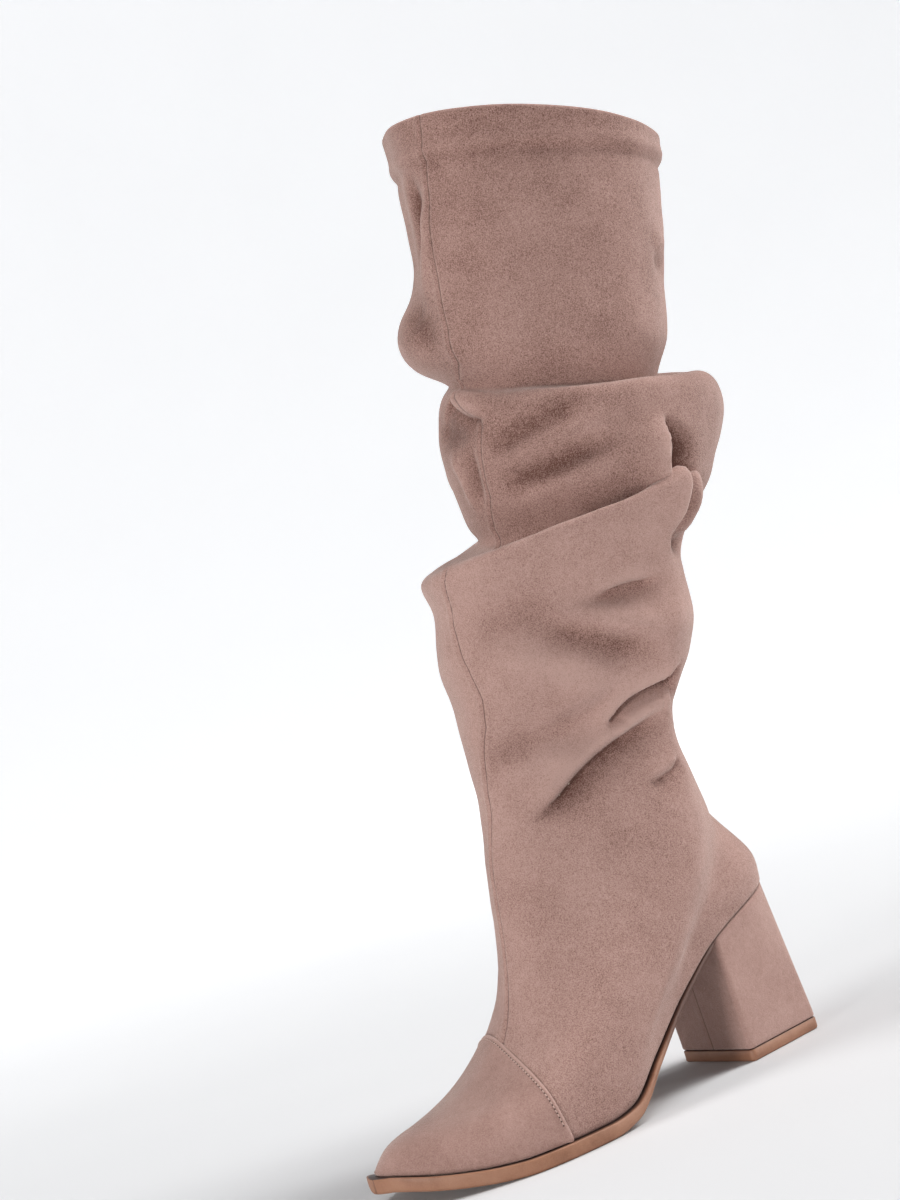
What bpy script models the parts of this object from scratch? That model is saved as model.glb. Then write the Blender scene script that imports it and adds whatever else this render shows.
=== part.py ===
"""Slouched suede boot with a covered block heel, for the left foot, standing empty on its sole.

Blender units are metres: +X to the toe, +Y to the outer side, +Z up, the origin in the middle of the
heel's tread. The sizes and tables are in millimetres, from the back of the heel and from the floor.
"""

import math
from collections import namedtuple

import bmesh
import bpy
import numpy as np

MM = 0.001

# Driving sizes of the last
LAST_LENGTH = 240.5
BALL_WIDTH = 79.0
HEEL_RISE = 69.5
SOLE_EDGE = 7.0
TOE_SPRING = 9.0

# Driving sizes of the shaft, which leans back over the heel from a point inside the ankle
ANKLE_FORWARD = 62.0
ANKLE_HEIGHT = 110.0
SHAFT_LEAN = 9.4

# Sizes of the smaller pieces
WALL = 2.0
GAP = 0.3
SOLE_LEDGE = 3.2
WAIST_LEDGE = -1.0
LEDGE_FULL = 120.0
SOLE_BEVEL = 1.2
HEEL_BREAST = 54.0
HEEL_SEAT_INSET = 0.4
HEEL_TREAD_BACK = 1.5
HEEL_TREAD_FRONT = 51.0
HEEL_FRONT_WIDTH = 53.0
HEEL_BACK_WIDTH = 42.0
HEEL_FRONT_CORNER = 2.5
HEEL_BACK_CORNER = 4.0
LIFT_THICK = 5.7
INSOLE_THICK = 2.4
INSOLE_INSET = 5.0
CAP_SEAM = 156.2
CAP_SLANT = 0.31
CAP_RAKE = 0.2
CAP_THICK = 1.2
CAP_GAP = 0.7

# Steps of the faceted surfaces
TURN_STEPS = 48
FOOT_STEPS = 2
SOLE_STATIONS = 44

# The last, heel to toe. Forward is in percent of the length, the sides in percent of the ball's width,
# climb in percent of the heel's rise, spring in percent of the toe spring, thick in percent of the
# sole's edge. Rise and bulge, in millimetres, lift and push out the wall above the sole's edge.
Section = namedtuple("Section", "forward lateral medial climb spring thick rise bulge")
LAST = [
    Section(0.0, 0.0, 0.0, 100.0, 0, 40, 18.0, 5.5),
    Section(2.1, 16.0, -16.0, 98.6, 0, 40, 18.0, 5.5),
    Section(6.2, 26.0, -26.0, 95.5, 0, 40, 18.0, 5.5),
    Section(12.4, 32.0, -32.0, 90.0, 0, 40, 18.0, 5.5),
    Section(22.3, 36.0, -35.0, 78.0, 0, 42, 21.0, 5.0),
    Section(33.8, 37.5, -33.0, 53.5, 0, 50, 24.0, 5.0),
    Section(45.4, 42.0, -33.0, 24.5, 0, 60, 26.0, 6.0),
    Section(55.7, 48.5, -39.0, 2.5, 0, 86, 26.0, 5.5),
    Section(62.0, 50.5, -45.0, 0.0, 0, 98, 26.0, 5.0),
    Section(66.5, 50.6, -48.5, 0.0, 0, 100, 26.5, 4.5),
    Section(71.0, 49.8, -50.0, 0.0, 0, 100, 27.0, 4.0),
    Section(79.0, 45.0, -50.4, 0.0, 0, 100, 27.0, 3.0),
    Section(84.5, 36.5, -48.5, 0.0, 9, 100, 26.5, 1.0),
    Section(90.3, 25.0, -44.5, 0.0, 33, 100, 26.0, -1.5),
    Section(95.3, 11.0, -38.0, 0.0, 63, 100, 25.0, -4.0),
    Section(98.6, -3.0, -28.5, 0.0, 90, 100, 25.0, -6.0),
    Section(100.0, -16.5, -16.5, 0.0, 100, 100, 25.0, -6.5),
]

# How far the wall drops, and is pushed out, below the ankle ring
Instep = namedtuple("Instep", "drop push")
FRONT = Instep(124.0, 6.0)
SIDE = Instep(45.0, 2.0)
BACK = Instep(18.0, 5.0)
FOOT_RINGS = 5

# Rings of the shaft, collar to ankle, square to its leaning axis. Tilts are the rise in millimetres for
# each 100 mm forward and outward, the four reaches are from the axis, narrow is how far the sides draw in
# toward the back, in percent, and steps is the rows of facets down to the next ring. A roll laps over the
# tuck before it where it stands higher.
Ring = namedtuple("Ring", "name height tilt_forward tilt_side front back lateral medial narrow steps")
SHAFT = [
    Ring("collar", 456, 11.5, -5, 70, 70, 60, 58, 0, 1),
    Ring("hem", 436, 11, -5, 68, 67, 58, 55, 0, 2),
    Ring("upper tube", 408, 8, -6, 67, 64, 57, 52, 0, 2),
    Ring("lower tube", 374, 4, -12, 66, 57, 55, 54, 0, 2),
    Ring("tube end", 351, 2, -18, 64, 52, 52, 55, 0, 2),
    Ring("first tuck", 337, 2, -22, 54, 49, 47, 46, 0, 2),
    Ring("first roll", 336, -5, -17, 58, 67, 57, 51, 0, 3),
    Ring("roll belly", 314, -6, -8, 63, 85, 62, 60, 0, 2),
    Ring("middle tier", 291, -3, -4, 61, 73, 61, 53, 0, 2),
    Ring("tier end", 271, 0, 0, 55, 52, 53, 49, 0, 2),
    Ring("second tuck", 272, -20, -12, 53, 42, 47, 47, 0, 3),
    Ring("second roll", 273, -24, 3, 82, 55, 61, 57, 0, 3),
    Ring("lower tier", 246, -12, 2, 86, 38, 56, 58, 0, 2),
    Ring("tier belly", 216, -8, 0, 87, 38, 55, 58, 0, 2),
    Ring("tier sag", 193, -4, 0, 84, 32, 50, 54, 20, 2),
    Ring("pinch", 174, -4, 0, 83, 24, 40, 47, 45, 2),
    Ring("above ankle", 150, -8, 0, 81, 30, 38, 41, 50, 2),
    Ring("ankle", 126, -14, 0, 83, 38.5, 39, 39, 40, 2),
]

# Broad swells and hollows of the leather. Around is in degrees from the front to the outer side, height is
# along the shaft, slope is the rise in degrees along the run, and the depth is inward where it is negative.
SWELL_RADIUS = 56.0
Swell = namedtuple("Swell", "name around height run reach slope depth")
SWELLS = [
    Swell("front bump", -40, 368, 34, 20, 0, 11.0),
    Swell("front hollow", -22, 420, 40, 12, 90, -3.5),
    Swell("outer dimple", 66, 228, 26, 10, 4, -4.0),
    Swell("outer trough", 46, 208, 38, 13, -22, -4.0),
    Swell("heel fold", 78, 180, 34, 11, 32, -5.0),
    Swell("ankle crease", 40, 152, 42, 11, 28, -3.5),
]

# Base colours and roughness
SUEDE = ((0.37, 0.24, 0.20, 1.0), 0.95)
TAN_RUBBER = ((0.44, 0.20, 0.10, 1.0), 0.55)
FOOTBED = ((0.55, 0.42, 0.32, 1.0), 0.8)


def column(name):
    return np.array([getattr(section, name) for section in LAST], float)


def along_last(name, forward):
    """A column of the last at these distances, without overshoot between its rows."""
    places = column("forward") / 100 * LAST_LENGTH
    values = column(name)
    slopes = np.diff(values) / np.diff(places)
    product = slopes[:-1] * slopes[1:]
    total = slopes[:-1] + slopes[1:]
    inner = np.where(product > 0, 2 * product / np.where(total == 0, 1, total), 0)
    tangents = np.concatenate([slopes[:1], inner, slopes[-1:]])
    forward = np.clip(forward, places[0], places[-1])
    row = np.clip(np.searchsorted(places, forward) - 1, 0, len(places) - 2)
    width = np.diff(places)[row]
    share = (forward - places[row]) / width
    rest = 1 - share
    return (
        values[row] * rest**2 * (1 + 2 * share)
        + values[row + 1] * share**2 * (1 + 2 * rest)
        + width * share * rest * (tangents[row] * rest - tangents[row + 1] * share)
    )


def feather_height(forward):
    """Height of the line where the upper meets the sole."""
    climb = along_last("climb", forward) / 100 * HEEL_RISE
    return SOLE_EDGE + climb + along_last("spring", forward) / 100 * TOE_SPRING


def sole_bottom(forward):
    return feather_height(forward) - along_last("thick", forward) / 100 * SOLE_EDGE


def spline_matrix(places, periodic):
    """Takes values at these places to the second derivatives of a cubic spline through them."""
    count = len(places)
    steps = np.diff(places)
    left = np.eye(count)
    right = np.zeros((count, count))
    for i in range(1, count - 1):
        left[i, i - 1 : i + 2] = steps[i - 1], 2 * (steps[i - 1] + steps[i]), steps[i]
        right[i, i - 1] = 6 / steps[i - 1]
        right[i, i] = -6 / steps[i - 1] - 6 / steps[i]
        right[i, i + 1] = 6 / steps[i]
    if periodic:
        left[0, [0, 1, -2]] = 2 * (steps[-1] + steps[0]), steps[0], steps[-1]
        right[0, [0, 1, -2]] = -6 / steps[-1] - 6 / steps[0], 6 / steps[0], 6 / steps[-1]
        left[-1, [0, -1]] = -1, 1
    return np.linalg.solve(left, right)


def spline(places, values, wanted, periodic=False):
    """Cubic spline through values, whose first axis runs over the places."""
    bends = np.tensordot(spline_matrix(places, periodic), values, 1)
    row = np.clip(np.searchsorted(places, wanted, side="right") - 1, 0, len(places) - 2)
    shape = (-1,) + (1,) * (values.ndim - 1)
    width = np.diff(places)[row].reshape(shape)
    share = (wanted - places[row]).reshape(shape) / width
    rest = 1 - share
    return (
        rest * values[row]
        + share * values[row + 1]
        + width**2 / 6 * ((rest**3 - rest) * bends[row] + (share**3 - share) * bends[row + 1])
    )


def outline_loop():
    """The last's outline, closed, at even steps of turn: 0 at the toe, 0.5 at the heel's back."""
    forward = column("forward") / 100 * LAST_LENGTH
    outer = np.stack([forward, column("lateral") / 100 * BALL_WIDTH], 1)[::-1]
    inner = np.stack([forward, column("medial") / 100 * BALL_WIDTH], 1)[1:]
    points = np.concatenate([outer, inner])
    places = np.concatenate([[0], np.cumsum(np.linalg.norm(np.diff(points, axis=0), axis=1))])
    heel = places[len(outer) - 1]
    half = np.linspace(0, 1, 600)
    wanted = np.concatenate([half * heel, heel + half[1:] * (places[-1] - heel)])
    return spline(places, points, wanted, periodic=True)


OUTLINE = outline_loop()
OUTLINE_TURNS = np.linspace(0, 1, len(OUTLINE))


def feather_plan(turns):
    """Places of the last's outline, seen from above."""
    turns = np.mod(turns, 1)
    return np.stack([np.interp(turns, OUTLINE_TURNS, OUTLINE[:, i]) for i in (0, 1)], 1)


def outward(turns):
    """Level directions that point out of the last's outline."""
    step = 0.002
    tangent = feather_plan(turns + step) - feather_plan(turns - step)
    normal = np.stack([tangent[:, 1], -tangent[:, 0]], 1)
    return normal / np.linalg.norm(normal, axis=1)[:, None]


def side_lines(offset, stations):
    """The outline's outer and inner lines, moved out by offset, at these distances forward."""
    turns = np.linspace(0, 0.5, 500)
    lines = []
    for way in (turns, 1 - turns):
        points = feather_plan(way) + outward(way) * offset
        order = np.argsort(points[:, 0])
        lines.append(np.interp(stations, points[order, 0], points[order, 1]))
    return lines


def ring_reach(ring, angle):
    """Forward and sideways reach of a ring at these angles from the front."""
    ahead = np.cos(angle)
    aside = np.sin(angle)
    forward = np.where(ahead > 0, ring.front, ring.back) * ahead
    side = np.where(aside > 0, ring.lateral, ring.medial) * aside
    return forward, side * (1 - ring.narrow / 100 * np.minimum(ahead, 0) ** 2)


def on_shaft(forward, side, height):
    """Shaft places, square to its leaning axis, as points of the boot."""
    lean = math.radians(SHAFT_LEAN)
    up = height - ANKLE_HEIGHT
    ahead = ANKLE_FORWARD + forward * math.cos(lean) - up * math.sin(lean)
    above = ANKLE_HEIGHT + forward * math.sin(lean) + up * math.cos(lean)
    return np.stack([ahead, side, above], -1)


def ring_points(ring, angle):
    forward, side = ring_reach(ring, angle)
    height = ring.height + (ring.tilt_forward * forward + ring.tilt_side * side) / 100
    return on_shaft(forward, side, height)


def foot_rings(ankle, turns):
    """Rings from the ankle to the sole: along each turn the wall drops, then swings out to the edge."""
    angle = 2 * np.pi * turns
    front = np.maximum(np.cos(angle), 0) ** 2
    back = np.maximum(-np.cos(angle), 0) ** 2
    side = 1 - front - back
    drop = front * FRONT.drop + side * SIDE.drop + back * BACK.drop
    push = front * FRONT.push + side * SIDE.push + back * BACK.push
    plan = feather_plan(turns)
    edge = np.column_stack([plan, feather_height(plan[:, 0])])
    below = ankle + np.stack([push * np.cos(angle), push * np.sin(angle), -drop], 1)
    bulge = along_last("bulge", plan[:, 0])[:, None] * outward(turns)
    above = edge + np.column_stack([bulge, along_last("rise", plan[:, 0])])
    rings = []
    for step in np.linspace(0, 1, FOOT_RINGS + 1)[1:]:
        rest = 1 - step
        rings.append(
            rest**3 * ankle
            + 3 * rest**2 * step * below
            + 3 * rest * step**2 * above
            + step**3 * edge
        )
    return rings


def main_rings(turns):
    rings = [ring_points(ring, 2 * np.pi * turns) for ring in SHAFT]
    return np.array(rings + foot_rings(rings[-1], turns))


RING_COUNT = len(main_rings(np.array([0.0])))
ANKLE_LEVEL = RING_COUNT - 1 - FOOT_RINGS


def ring_places():
    """One measure down the upper for all turns: the mean distance between rings."""
    rings = main_rings(np.linspace(0, 1, 24, endpoint=False))
    steps = np.linalg.norm(np.diff(rings, axis=0), axis=2).mean(axis=1)
    return np.concatenate([[0], np.cumsum(steps)])


RING_PLACES = ring_places()


def plain_skin(turns, levels):
    """Points of the upper's outside without swells. Level 0 is the collar, a whole number is a ring."""
    places = np.interp(levels, np.arange(RING_COUNT), RING_PLACES)
    return spline(RING_PLACES, main_rings(turns), places)


def normals(surface, turns, levels):
    turn_step = 0.0015
    level_step = 0.02
    around = surface(turns + turn_step, levels) - surface(turns - turn_step, levels)
    low = np.clip(levels + level_step, 0, RING_COUNT - 1)
    high = np.clip(levels - level_step, 0, RING_COUNT - 1)
    down = surface(turns, low) - surface(turns, high)
    facing = np.cross(down, around)
    return facing / np.linalg.norm(facing, axis=2)[:, :, None]


def swell_depth(points, turns):
    """How far the swells move these points out of the plain skin."""
    lean = math.radians(SHAFT_LEAN)
    height = ANKLE_HEIGHT + (points[:, :, 2] - ANKLE_HEIGHT) * math.cos(lean)
    height -= (points[:, :, 0] - ANKLE_FORWARD) * math.sin(lean)
    depth = np.zeros(height.shape)
    for swell in SWELLS:
        away = np.mod(turns - swell.around / 360 + 0.5, 1) - 0.5
        across = away[None, :] * 2 * math.pi * SWELL_RADIUS
        up = height - swell.height
        slope = math.radians(swell.slope)
        run = (across * math.cos(slope) + up * math.sin(slope)) / swell.run
        reach = (up * math.cos(slope) - across * math.sin(slope)) / swell.reach
        depth += swell.depth * np.exp(-(run**2) - reach**2)
    return depth


def skin(turns, levels):
    points = plain_skin(turns, levels)
    return points + normals(plain_skin, turns, levels) * swell_depth(points, turns)[:, :, None]


def offset_skin(turns, levels, offset):
    """The upper's outside moved along its normals, with its lower edge kept at the sole."""
    points = skin(turns, levels) + normals(skin, turns, levels) * offset
    for i in np.nonzero(levels >= RING_COUNT - 1)[0]:
        plan = feather_plan(turns) + outward(turns) * offset
        points[i] = np.column_stack([plan, feather_height(plan[:, 0])])
    return points


def material(name, colour, roughness):
    made = bpy.data.materials.new(name)
    made.use_nodes = True
    shader = made.node_tree.nodes["Principled BSDF"]
    shader.inputs["Base Color"].default_value = colour
    shader.inputs["Roughness"].default_value = roughness
    shader.inputs["Metallic"].default_value = 0.0
    return made


def add_piece(name, points, faces, finish, parent):
    mesh = bpy.data.meshes.new(name)
    mesh.from_pydata((np.asarray(points) * MM).tolist(), [], faces)
    shell = bmesh.new()
    shell.from_mesh(mesh)
    bmesh.ops.recalc_face_normals(shell, faces=shell.faces)
    shell.to_mesh(mesh)
    shell.free()
    mesh.materials.append(material(name, *finish))
    piece = bpy.data.objects.new(name, mesh)
    bpy.context.scene.collection.objects.link(piece)
    piece.parent = parent
    return piece


def grid_faces(rows, columns, start=0, wrap=True, flip=False):
    faces = []
    for i in range(rows - 1):
        for j in range(columns if wrap else columns - 1):
            after = (j + 1) % columns
            here = start + i * columns
            below = here + columns
            face = [here + j, below + j, below + after, here + after]
            faces.append(face[::-1] if flip else face)
    return faces


def band_faces(first, second):
    """Quads between two closed loops of point numbers."""
    count = len(first)
    return [[first[j], second[j], second[(j + 1) % count], first[(j + 1) % count]] for j in range(count)]


def even_turns():
    """Turns around the upper, closer together at the toe and the heel."""
    step = np.linspace(0, 1, TURN_STEPS, endpoint=False)
    return step - 0.42 * np.sin(4 * np.pi * step) / (4 * np.pi)


def shell(turns, levels, outer_offset, inner_offset):
    """Points and faces of a wall between two offsets of the upper's skin, closed along its two rims."""
    outside = offset_skin(turns, levels, outer_offset)
    inside = offset_skin(turns, levels, inner_offset)
    rows, columns = outside.shape[:2]
    half = rows * columns
    rim = list(range(columns))
    foot = [half - columns + j for j in rim]
    faces = grid_faces(rows, columns)
    faces += grid_faces(rows, columns, half, flip=True)
    faces += band_faces([half + j for j in rim], rim)
    faces += band_faces(foot, [half + j for j in foot])
    return np.concatenate([outside.reshape(-1, 3), inside.reshape(-1, 3)]), faces


def upper_levels(first):
    steps = [ring.steps for ring in SHAFT] + [FOOT_STEPS] * (FOOT_RINGS - 1)
    levels = [i + np.arange(count) / count for i, count in enumerate(steps) if i >= first]
    return np.append(np.concatenate(levels), RING_COUNT - 1)


def add_upper(parent):
    add_piece("upper", *shell(even_turns(), upper_levels(0), 0.0, -WALL), SUEDE, parent)


def add_toe_cap(parent):
    """A wall just outside the upper's foot, cut off behind its seam, which runs ahead outward and upward."""
    blank = shell(even_turns(), upper_levels(ANKLE_LEVEL), CAP_GAP + CAP_THICK, CAP_GAP)
    cap = add_piece("toe_cap", *blank, SUEDE, parent)
    reach = LAST_LENGTH
    square = [(-reach, -reach), (reach, -reach), (reach, reach), (-reach, reach)]
    seam = [(CAP_SEAM + CAP_SLANT * y + CAP_RAKE * z, y, z) for y, z in square]
    front = [(2 * reach, y, z) for y, z in square]
    cutter = add_piece("cap_cutter", *loft([seam, front]), SUEDE, parent)
    cutter.hide_render = True
    cut = cap.modifiers.new("seam", "BOOLEAN")
    cut.operation = "INTERSECT"
    cut.solver = "EXACT"
    cut.object = cutter


def loft(rings):
    """Points and faces of a solid through closed rings of equal count, capped at both ends."""
    rings = np.array(rings)
    rows, columns = rings.shape[:2]
    faces = grid_faces(rows, columns)
    faces.append(list(range(columns)))
    faces.append([(rows - 1) * columns + j for j in range(columns)][::-1])
    return rings.reshape(-1, 3), faces


def toe_stations(back, tip):
    """Distances forward from the back end to the toe, closer together at the toe."""
    share = np.linspace(0, 1, SOLE_STATIONS)
    return back + (tip - back) * np.sin(share * math.pi / 2) ** 0.8


def sole_tip(offset):
    return (feather_plan(np.array([0.0])) + outward(np.array([0.0])) * offset)[0, 0]


def add_outsole(parent):
    stations = toe_stations(HEEL_BREAST + GAP, sole_tip(SOLE_LEDGE) - 0.15)
    waist_outer, waist_inner = side_lines(WAIST_LEDGE, stations)
    outer, inner = side_lines(SOLE_LEDGE, stations)
    share = np.clip((stations - HEEL_BREAST) / (LEDGE_FULL - HEEL_BREAST), 0, 1)
    outer = waist_outer + (outer - waist_outer) * share
    inner = waist_inner + (inner - waist_inner) * share
    top = feather_height(stations) - GAP
    bottom = sole_bottom(stations)
    bevel = np.minimum(SOLE_BEVEL, (outer - inner) / 4)
    rings = []
    for i, x in enumerate(stations):
        edge = bottom[i] + 0.35 * (top[i] - bottom[i])
        rings.append(
            [
                (x, inner[i], top[i]),
                (x, inner[i], edge),
                (x, inner[i] + bevel[i], bottom[i]),
                (x, outer[i] - bevel[i], bottom[i]),
                (x, outer[i], edge),
                (x, outer[i], top[i]),
            ]
        )
    add_piece("outsole", *loft(rings), TAN_RUBBER, parent)


def add_insole(parent):
    forward = toe_stations(INSOLE_INSET, sole_tip(-INSOLE_INSET) - GAP)
    heel = INSOLE_INSET + np.array([0.15, 1.2, 4.0, 9.0, 16.0])
    stations = np.concatenate([heel, forward[forward > heel[-1] + 3]])
    outer, inner = side_lines(-INSOLE_INSET, stations)
    bottom = feather_height(stations) + GAP
    top = bottom + INSOLE_THICK
    rings = []
    for i, x in enumerate(stations):
        rings.append(
            [
                (x, inner[i], top[i]),
                (x, inner[i], bottom[i]),
                (x, outer[i], bottom[i]),
                (x, outer[i], top[i]),
            ]
        )
    add_piece("insole", *loft(rings), FOOTBED, parent)


def arc(forward, side, radius, first, last, count):
    angle = np.radians(np.linspace(first, last, count))
    return np.column_stack([forward + radius * np.cos(angle), side + radius * np.sin(angle)])


def heel_tread():
    """The tread's outer and inner half outlines, from the breast to the middle of the back."""
    front = HEEL_FRONT_CORNER
    back = HEEL_BACK_CORNER
    fore = arc(HEEL_TREAD_FRONT - front, HEEL_FRONT_WIDTH / 2 - front, front, 0, 90, 3)
    rear = arc(HEEL_TREAD_BACK + back, HEEL_BACK_WIDTH / 2 - back, back, 90, 180, 5)
    middle = np.array([[HEEL_TREAD_BACK, HEEL_BACK_WIDTH / 5]])
    half = np.concatenate([fore, (fore[-1:] + rear[:1]) / 2, rear, middle])
    return half, half * [1, -1]


def heel_seat():
    """The last's outline at the heel, cut off at the breast, in the same steps as the tread."""
    front = HEEL_FRONT_CORNER
    fore = arc(HEEL_BREAST - front, -front, front, 0, 90, 3)
    share = np.linspace(0, 1, 9)[1:-1]
    around = (HEEL_BREAST - front) * (1 - np.sin(share * math.pi / 2))
    stations = np.concatenate([fore[:, 0], around])
    tuck = np.concatenate([fore[:, 1], np.zeros(len(around))])
    outer, inner = side_lines(-HEEL_SEAT_INSET, stations)
    return np.column_stack([stations, outer + tuck]), np.column_stack([stations, inner - tuck])


def heel_rings(lower, upper, low, high):
    """Rings of four corners from the breast to the back, between a lower and an upper pair of outlines."""
    rings = []
    for i in range(len(lower[0])):
        rings.append(
            [
                (*upper[1][i], high[i]),
                (*upper[0][i], high[i]),
                (*lower[0][i], low),
                (*lower[1][i], low),
            ]
        )
    return rings


def add_heel(parent):
    tread = heel_tread()
    seat = heel_seat()
    seat_height = feather_height(seat[0][:, 0]) - GAP
    block = heel_rings(tread, seat, LIFT_THICK + GAP, seat_height)
    add_piece("heel_block", *loft(block), SUEDE, parent)
    lift = heel_rings(tread, tread, 0.0, np.full(len(tread[0]), LIFT_THICK))
    add_piece("heel_top_lift", *loft(lift), TAN_RUBBER, parent)


def build():
    for old in list(bpy.data.objects):
        bpy.data.objects.remove(old, do_unlink=True)
    boot = bpy.data.objects.new("boot", None)
    boot.location.x = -(HEEL_TREAD_BACK + HEEL_TREAD_FRONT) / 2 * MM
    bpy.context.scene.collection.objects.link(boot)
    add_upper(boot)
    add_toe_cap(boot)
    add_outsole(boot)
    add_insole(boot)
    add_heel(boot)


build()
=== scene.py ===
"""Looks of the slouched suede boot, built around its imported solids.

The tables hold millimetres from the back of the heel and from the floor, as the part's own source does, and
the shapes start from the same functions, at finer steps. Turn 0 is the front, 0.25 the outer side and 0.5
the back. Level 0 is the collar, and a whole level is a ring of the upper.
"""

import math
from collections import namedtuple

import bpy
import numpy as np
from mathutils import Matrix, Vector


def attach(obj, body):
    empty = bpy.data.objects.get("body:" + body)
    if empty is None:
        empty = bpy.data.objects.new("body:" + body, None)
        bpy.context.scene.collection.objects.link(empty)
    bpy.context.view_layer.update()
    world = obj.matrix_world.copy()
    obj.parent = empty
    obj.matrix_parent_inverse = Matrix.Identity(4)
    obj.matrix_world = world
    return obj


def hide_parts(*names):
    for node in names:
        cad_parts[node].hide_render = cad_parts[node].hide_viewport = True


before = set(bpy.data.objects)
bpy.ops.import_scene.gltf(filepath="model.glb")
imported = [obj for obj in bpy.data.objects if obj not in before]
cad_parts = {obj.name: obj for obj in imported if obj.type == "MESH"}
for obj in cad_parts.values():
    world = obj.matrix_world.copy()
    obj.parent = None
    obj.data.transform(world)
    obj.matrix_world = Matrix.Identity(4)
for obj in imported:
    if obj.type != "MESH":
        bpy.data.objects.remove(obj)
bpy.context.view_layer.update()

MM = 0.001
TOUCHING = 0.0001

# Sizes of the last, the shaft and the smaller pieces, as in the part's source
LAST_LENGTH = 240.5
BALL_WIDTH = 79.0
HEEL_RISE = 69.5
SOLE_EDGE = 7.0
TOE_SPRING = 9.0
ANKLE_FORWARD = 62.0
ANKLE_HEIGHT = 110.0
SHAFT_LEAN = 9.4
GAP = 0.3
SOLE_LEDGE = 3.2
WAIST_LEDGE = -1.0
LEDGE_FULL = 120.0
HEEL_BREAST = 54.0
HEEL_SEAT_INSET = 0.4
HEEL_TREAD_BACK = 1.5
HEEL_TREAD_FRONT = 51.0
HEEL_FRONT_WIDTH = 53.0
HEEL_BACK_WIDTH = 42.0
HEEL_FRONT_CORNER = 2.5
HEEL_BACK_CORNER = 4.0
LIFT_THICK = 5.7
INSOLE_THICK = 2.4
INSOLE_INSET = 5.0
CAP_SEAM = 156.2
CAP_SLANT = 0.31
CAP_RAKE = 0.2
ORIGIN_FORWARD = (HEEL_TREAD_BACK + HEEL_TREAD_FRONT) / 2

# The last, heel to toe, in percent of its driving sizes. Rise and bulge are in millimetres.
Section = namedtuple("Section", "forward lateral medial climb spring thick rise bulge")
LAST = [
    Section(0.0, 0.0, 0.0, 100.0, 0, 40, 18.0, 5.5),
    Section(2.1, 16.0, -16.0, 98.6, 0, 40, 18.0, 5.5),
    Section(6.2, 26.0, -26.0, 95.5, 0, 40, 18.0, 5.5),
    Section(12.4, 32.0, -32.0, 90.0, 0, 40, 18.0, 5.5),
    Section(22.3, 36.0, -35.0, 78.0, 0, 42, 21.0, 5.0),
    Section(33.8, 37.5, -33.0, 53.5, 0, 50, 24.0, 5.0),
    Section(45.4, 42.0, -33.0, 24.5, 0, 60, 26.0, 6.0),
    Section(55.7, 48.5, -39.0, 2.5, 0, 86, 26.0, 5.5),
    Section(62.0, 50.5, -45.0, 0.0, 0, 98, 26.0, 5.0),
    Section(66.5, 50.6, -48.5, 0.0, 0, 100, 26.5, 4.5),
    Section(71.0, 49.8, -50.0, 0.0, 0, 100, 27.0, 4.0),
    Section(79.0, 45.0, -50.4, 0.0, 0, 100, 27.0, 3.0),
    Section(84.5, 36.5, -48.5, 0.0, 9, 100, 26.5, 1.0),
    Section(90.3, 25.0, -44.5, 0.0, 33, 100, 26.0, -1.5),
    Section(95.3, 11.0, -38.0, 0.0, 63, 100, 25.0, -4.0),
    Section(98.6, -3.0, -28.5, 0.0, 90, 100, 25.0, -6.0),
    Section(100.0, -16.5, -16.5, 0.0, 100, 100, 25.0, -6.5),
]

Instep = namedtuple("Instep", "drop push")
FRONT = Instep(124.0, 6.0)
SIDE = Instep(45.0, 2.0)
BACK = Instep(18.0, 5.0)
FOOT_RINGS = 5

# Rings of the shaft, collar to ankle, square to its leaning axis
Ring = namedtuple("Ring", "name height tilt_forward tilt_side front back lateral medial narrow")
SHAFT = [
    Ring("collar", 456, 11.5, -5, 70, 70, 60, 58, 0),
    Ring("hem", 436, 11, -5, 68, 67, 58, 55, 0),
    Ring("upper tube", 408, 8, -6, 67, 64, 57, 52, 0),
    Ring("lower tube", 374, 4, -12, 66, 57, 55, 54, 0),
    Ring("tube end", 351, 2, -18, 64, 52, 52, 55, 0),
    Ring("first tuck", 337, 2, -22, 54, 49, 47, 46, 0),
    Ring("first roll", 336, -5, -17, 58, 67, 57, 51, 0),
    Ring("roll belly", 314, -6, -8, 63, 85, 62, 60, 0),
    Ring("middle tier", 291, -3, -4, 61, 73, 61, 53, 0),
    Ring("tier end", 271, 0, 0, 55, 52, 53, 49, 0),
    Ring("second tuck", 272, -20, -12, 53, 42, 47, 47, 0),
    Ring("second roll", 273, -24, 3, 82, 55, 61, 57, 0),
    Ring("lower tier", 246, -12, 2, 86, 38, 56, 58, 0),
    Ring("tier belly", 216, -8, 0, 87, 38, 55, 58, 0),
    Ring("tier sag", 193, -4, 0, 84, 32, 50, 54, 20),
    Ring("pinch", 174, -4, 0, 83, 24, 40, 47, 45),
    Ring("above ankle", 150, -8, 0, 81, 30, 38, 41, 50),
    Ring("ankle", 126, -14, 0, 83, 38.5, 39, 39, 40),
]

# Broad swells and hollows of the leather, also in the part's source
SWELL_GIRTH = 2 * math.pi * 56.0
Swell = namedtuple("Swell", "name around height run reach slope depth")
SWELLS = [
    Swell("front bump", -40, 368, 34, 20, 0, 11.0),
    Swell("front hollow", -22, 420, 40, 12, 90, -3.5),
    Swell("outer dimple", 66, 228, 26, 10, 4, -4.0),
    Swell("outer trough", 46, 208, 38, 13, -22, -4.0),
    Swell("heel fold", 78, 180, 34, 11, 32, -5.0),
    Swell("ankle crease", 40, 152, 42, 11, 28, -3.5),
]

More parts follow.
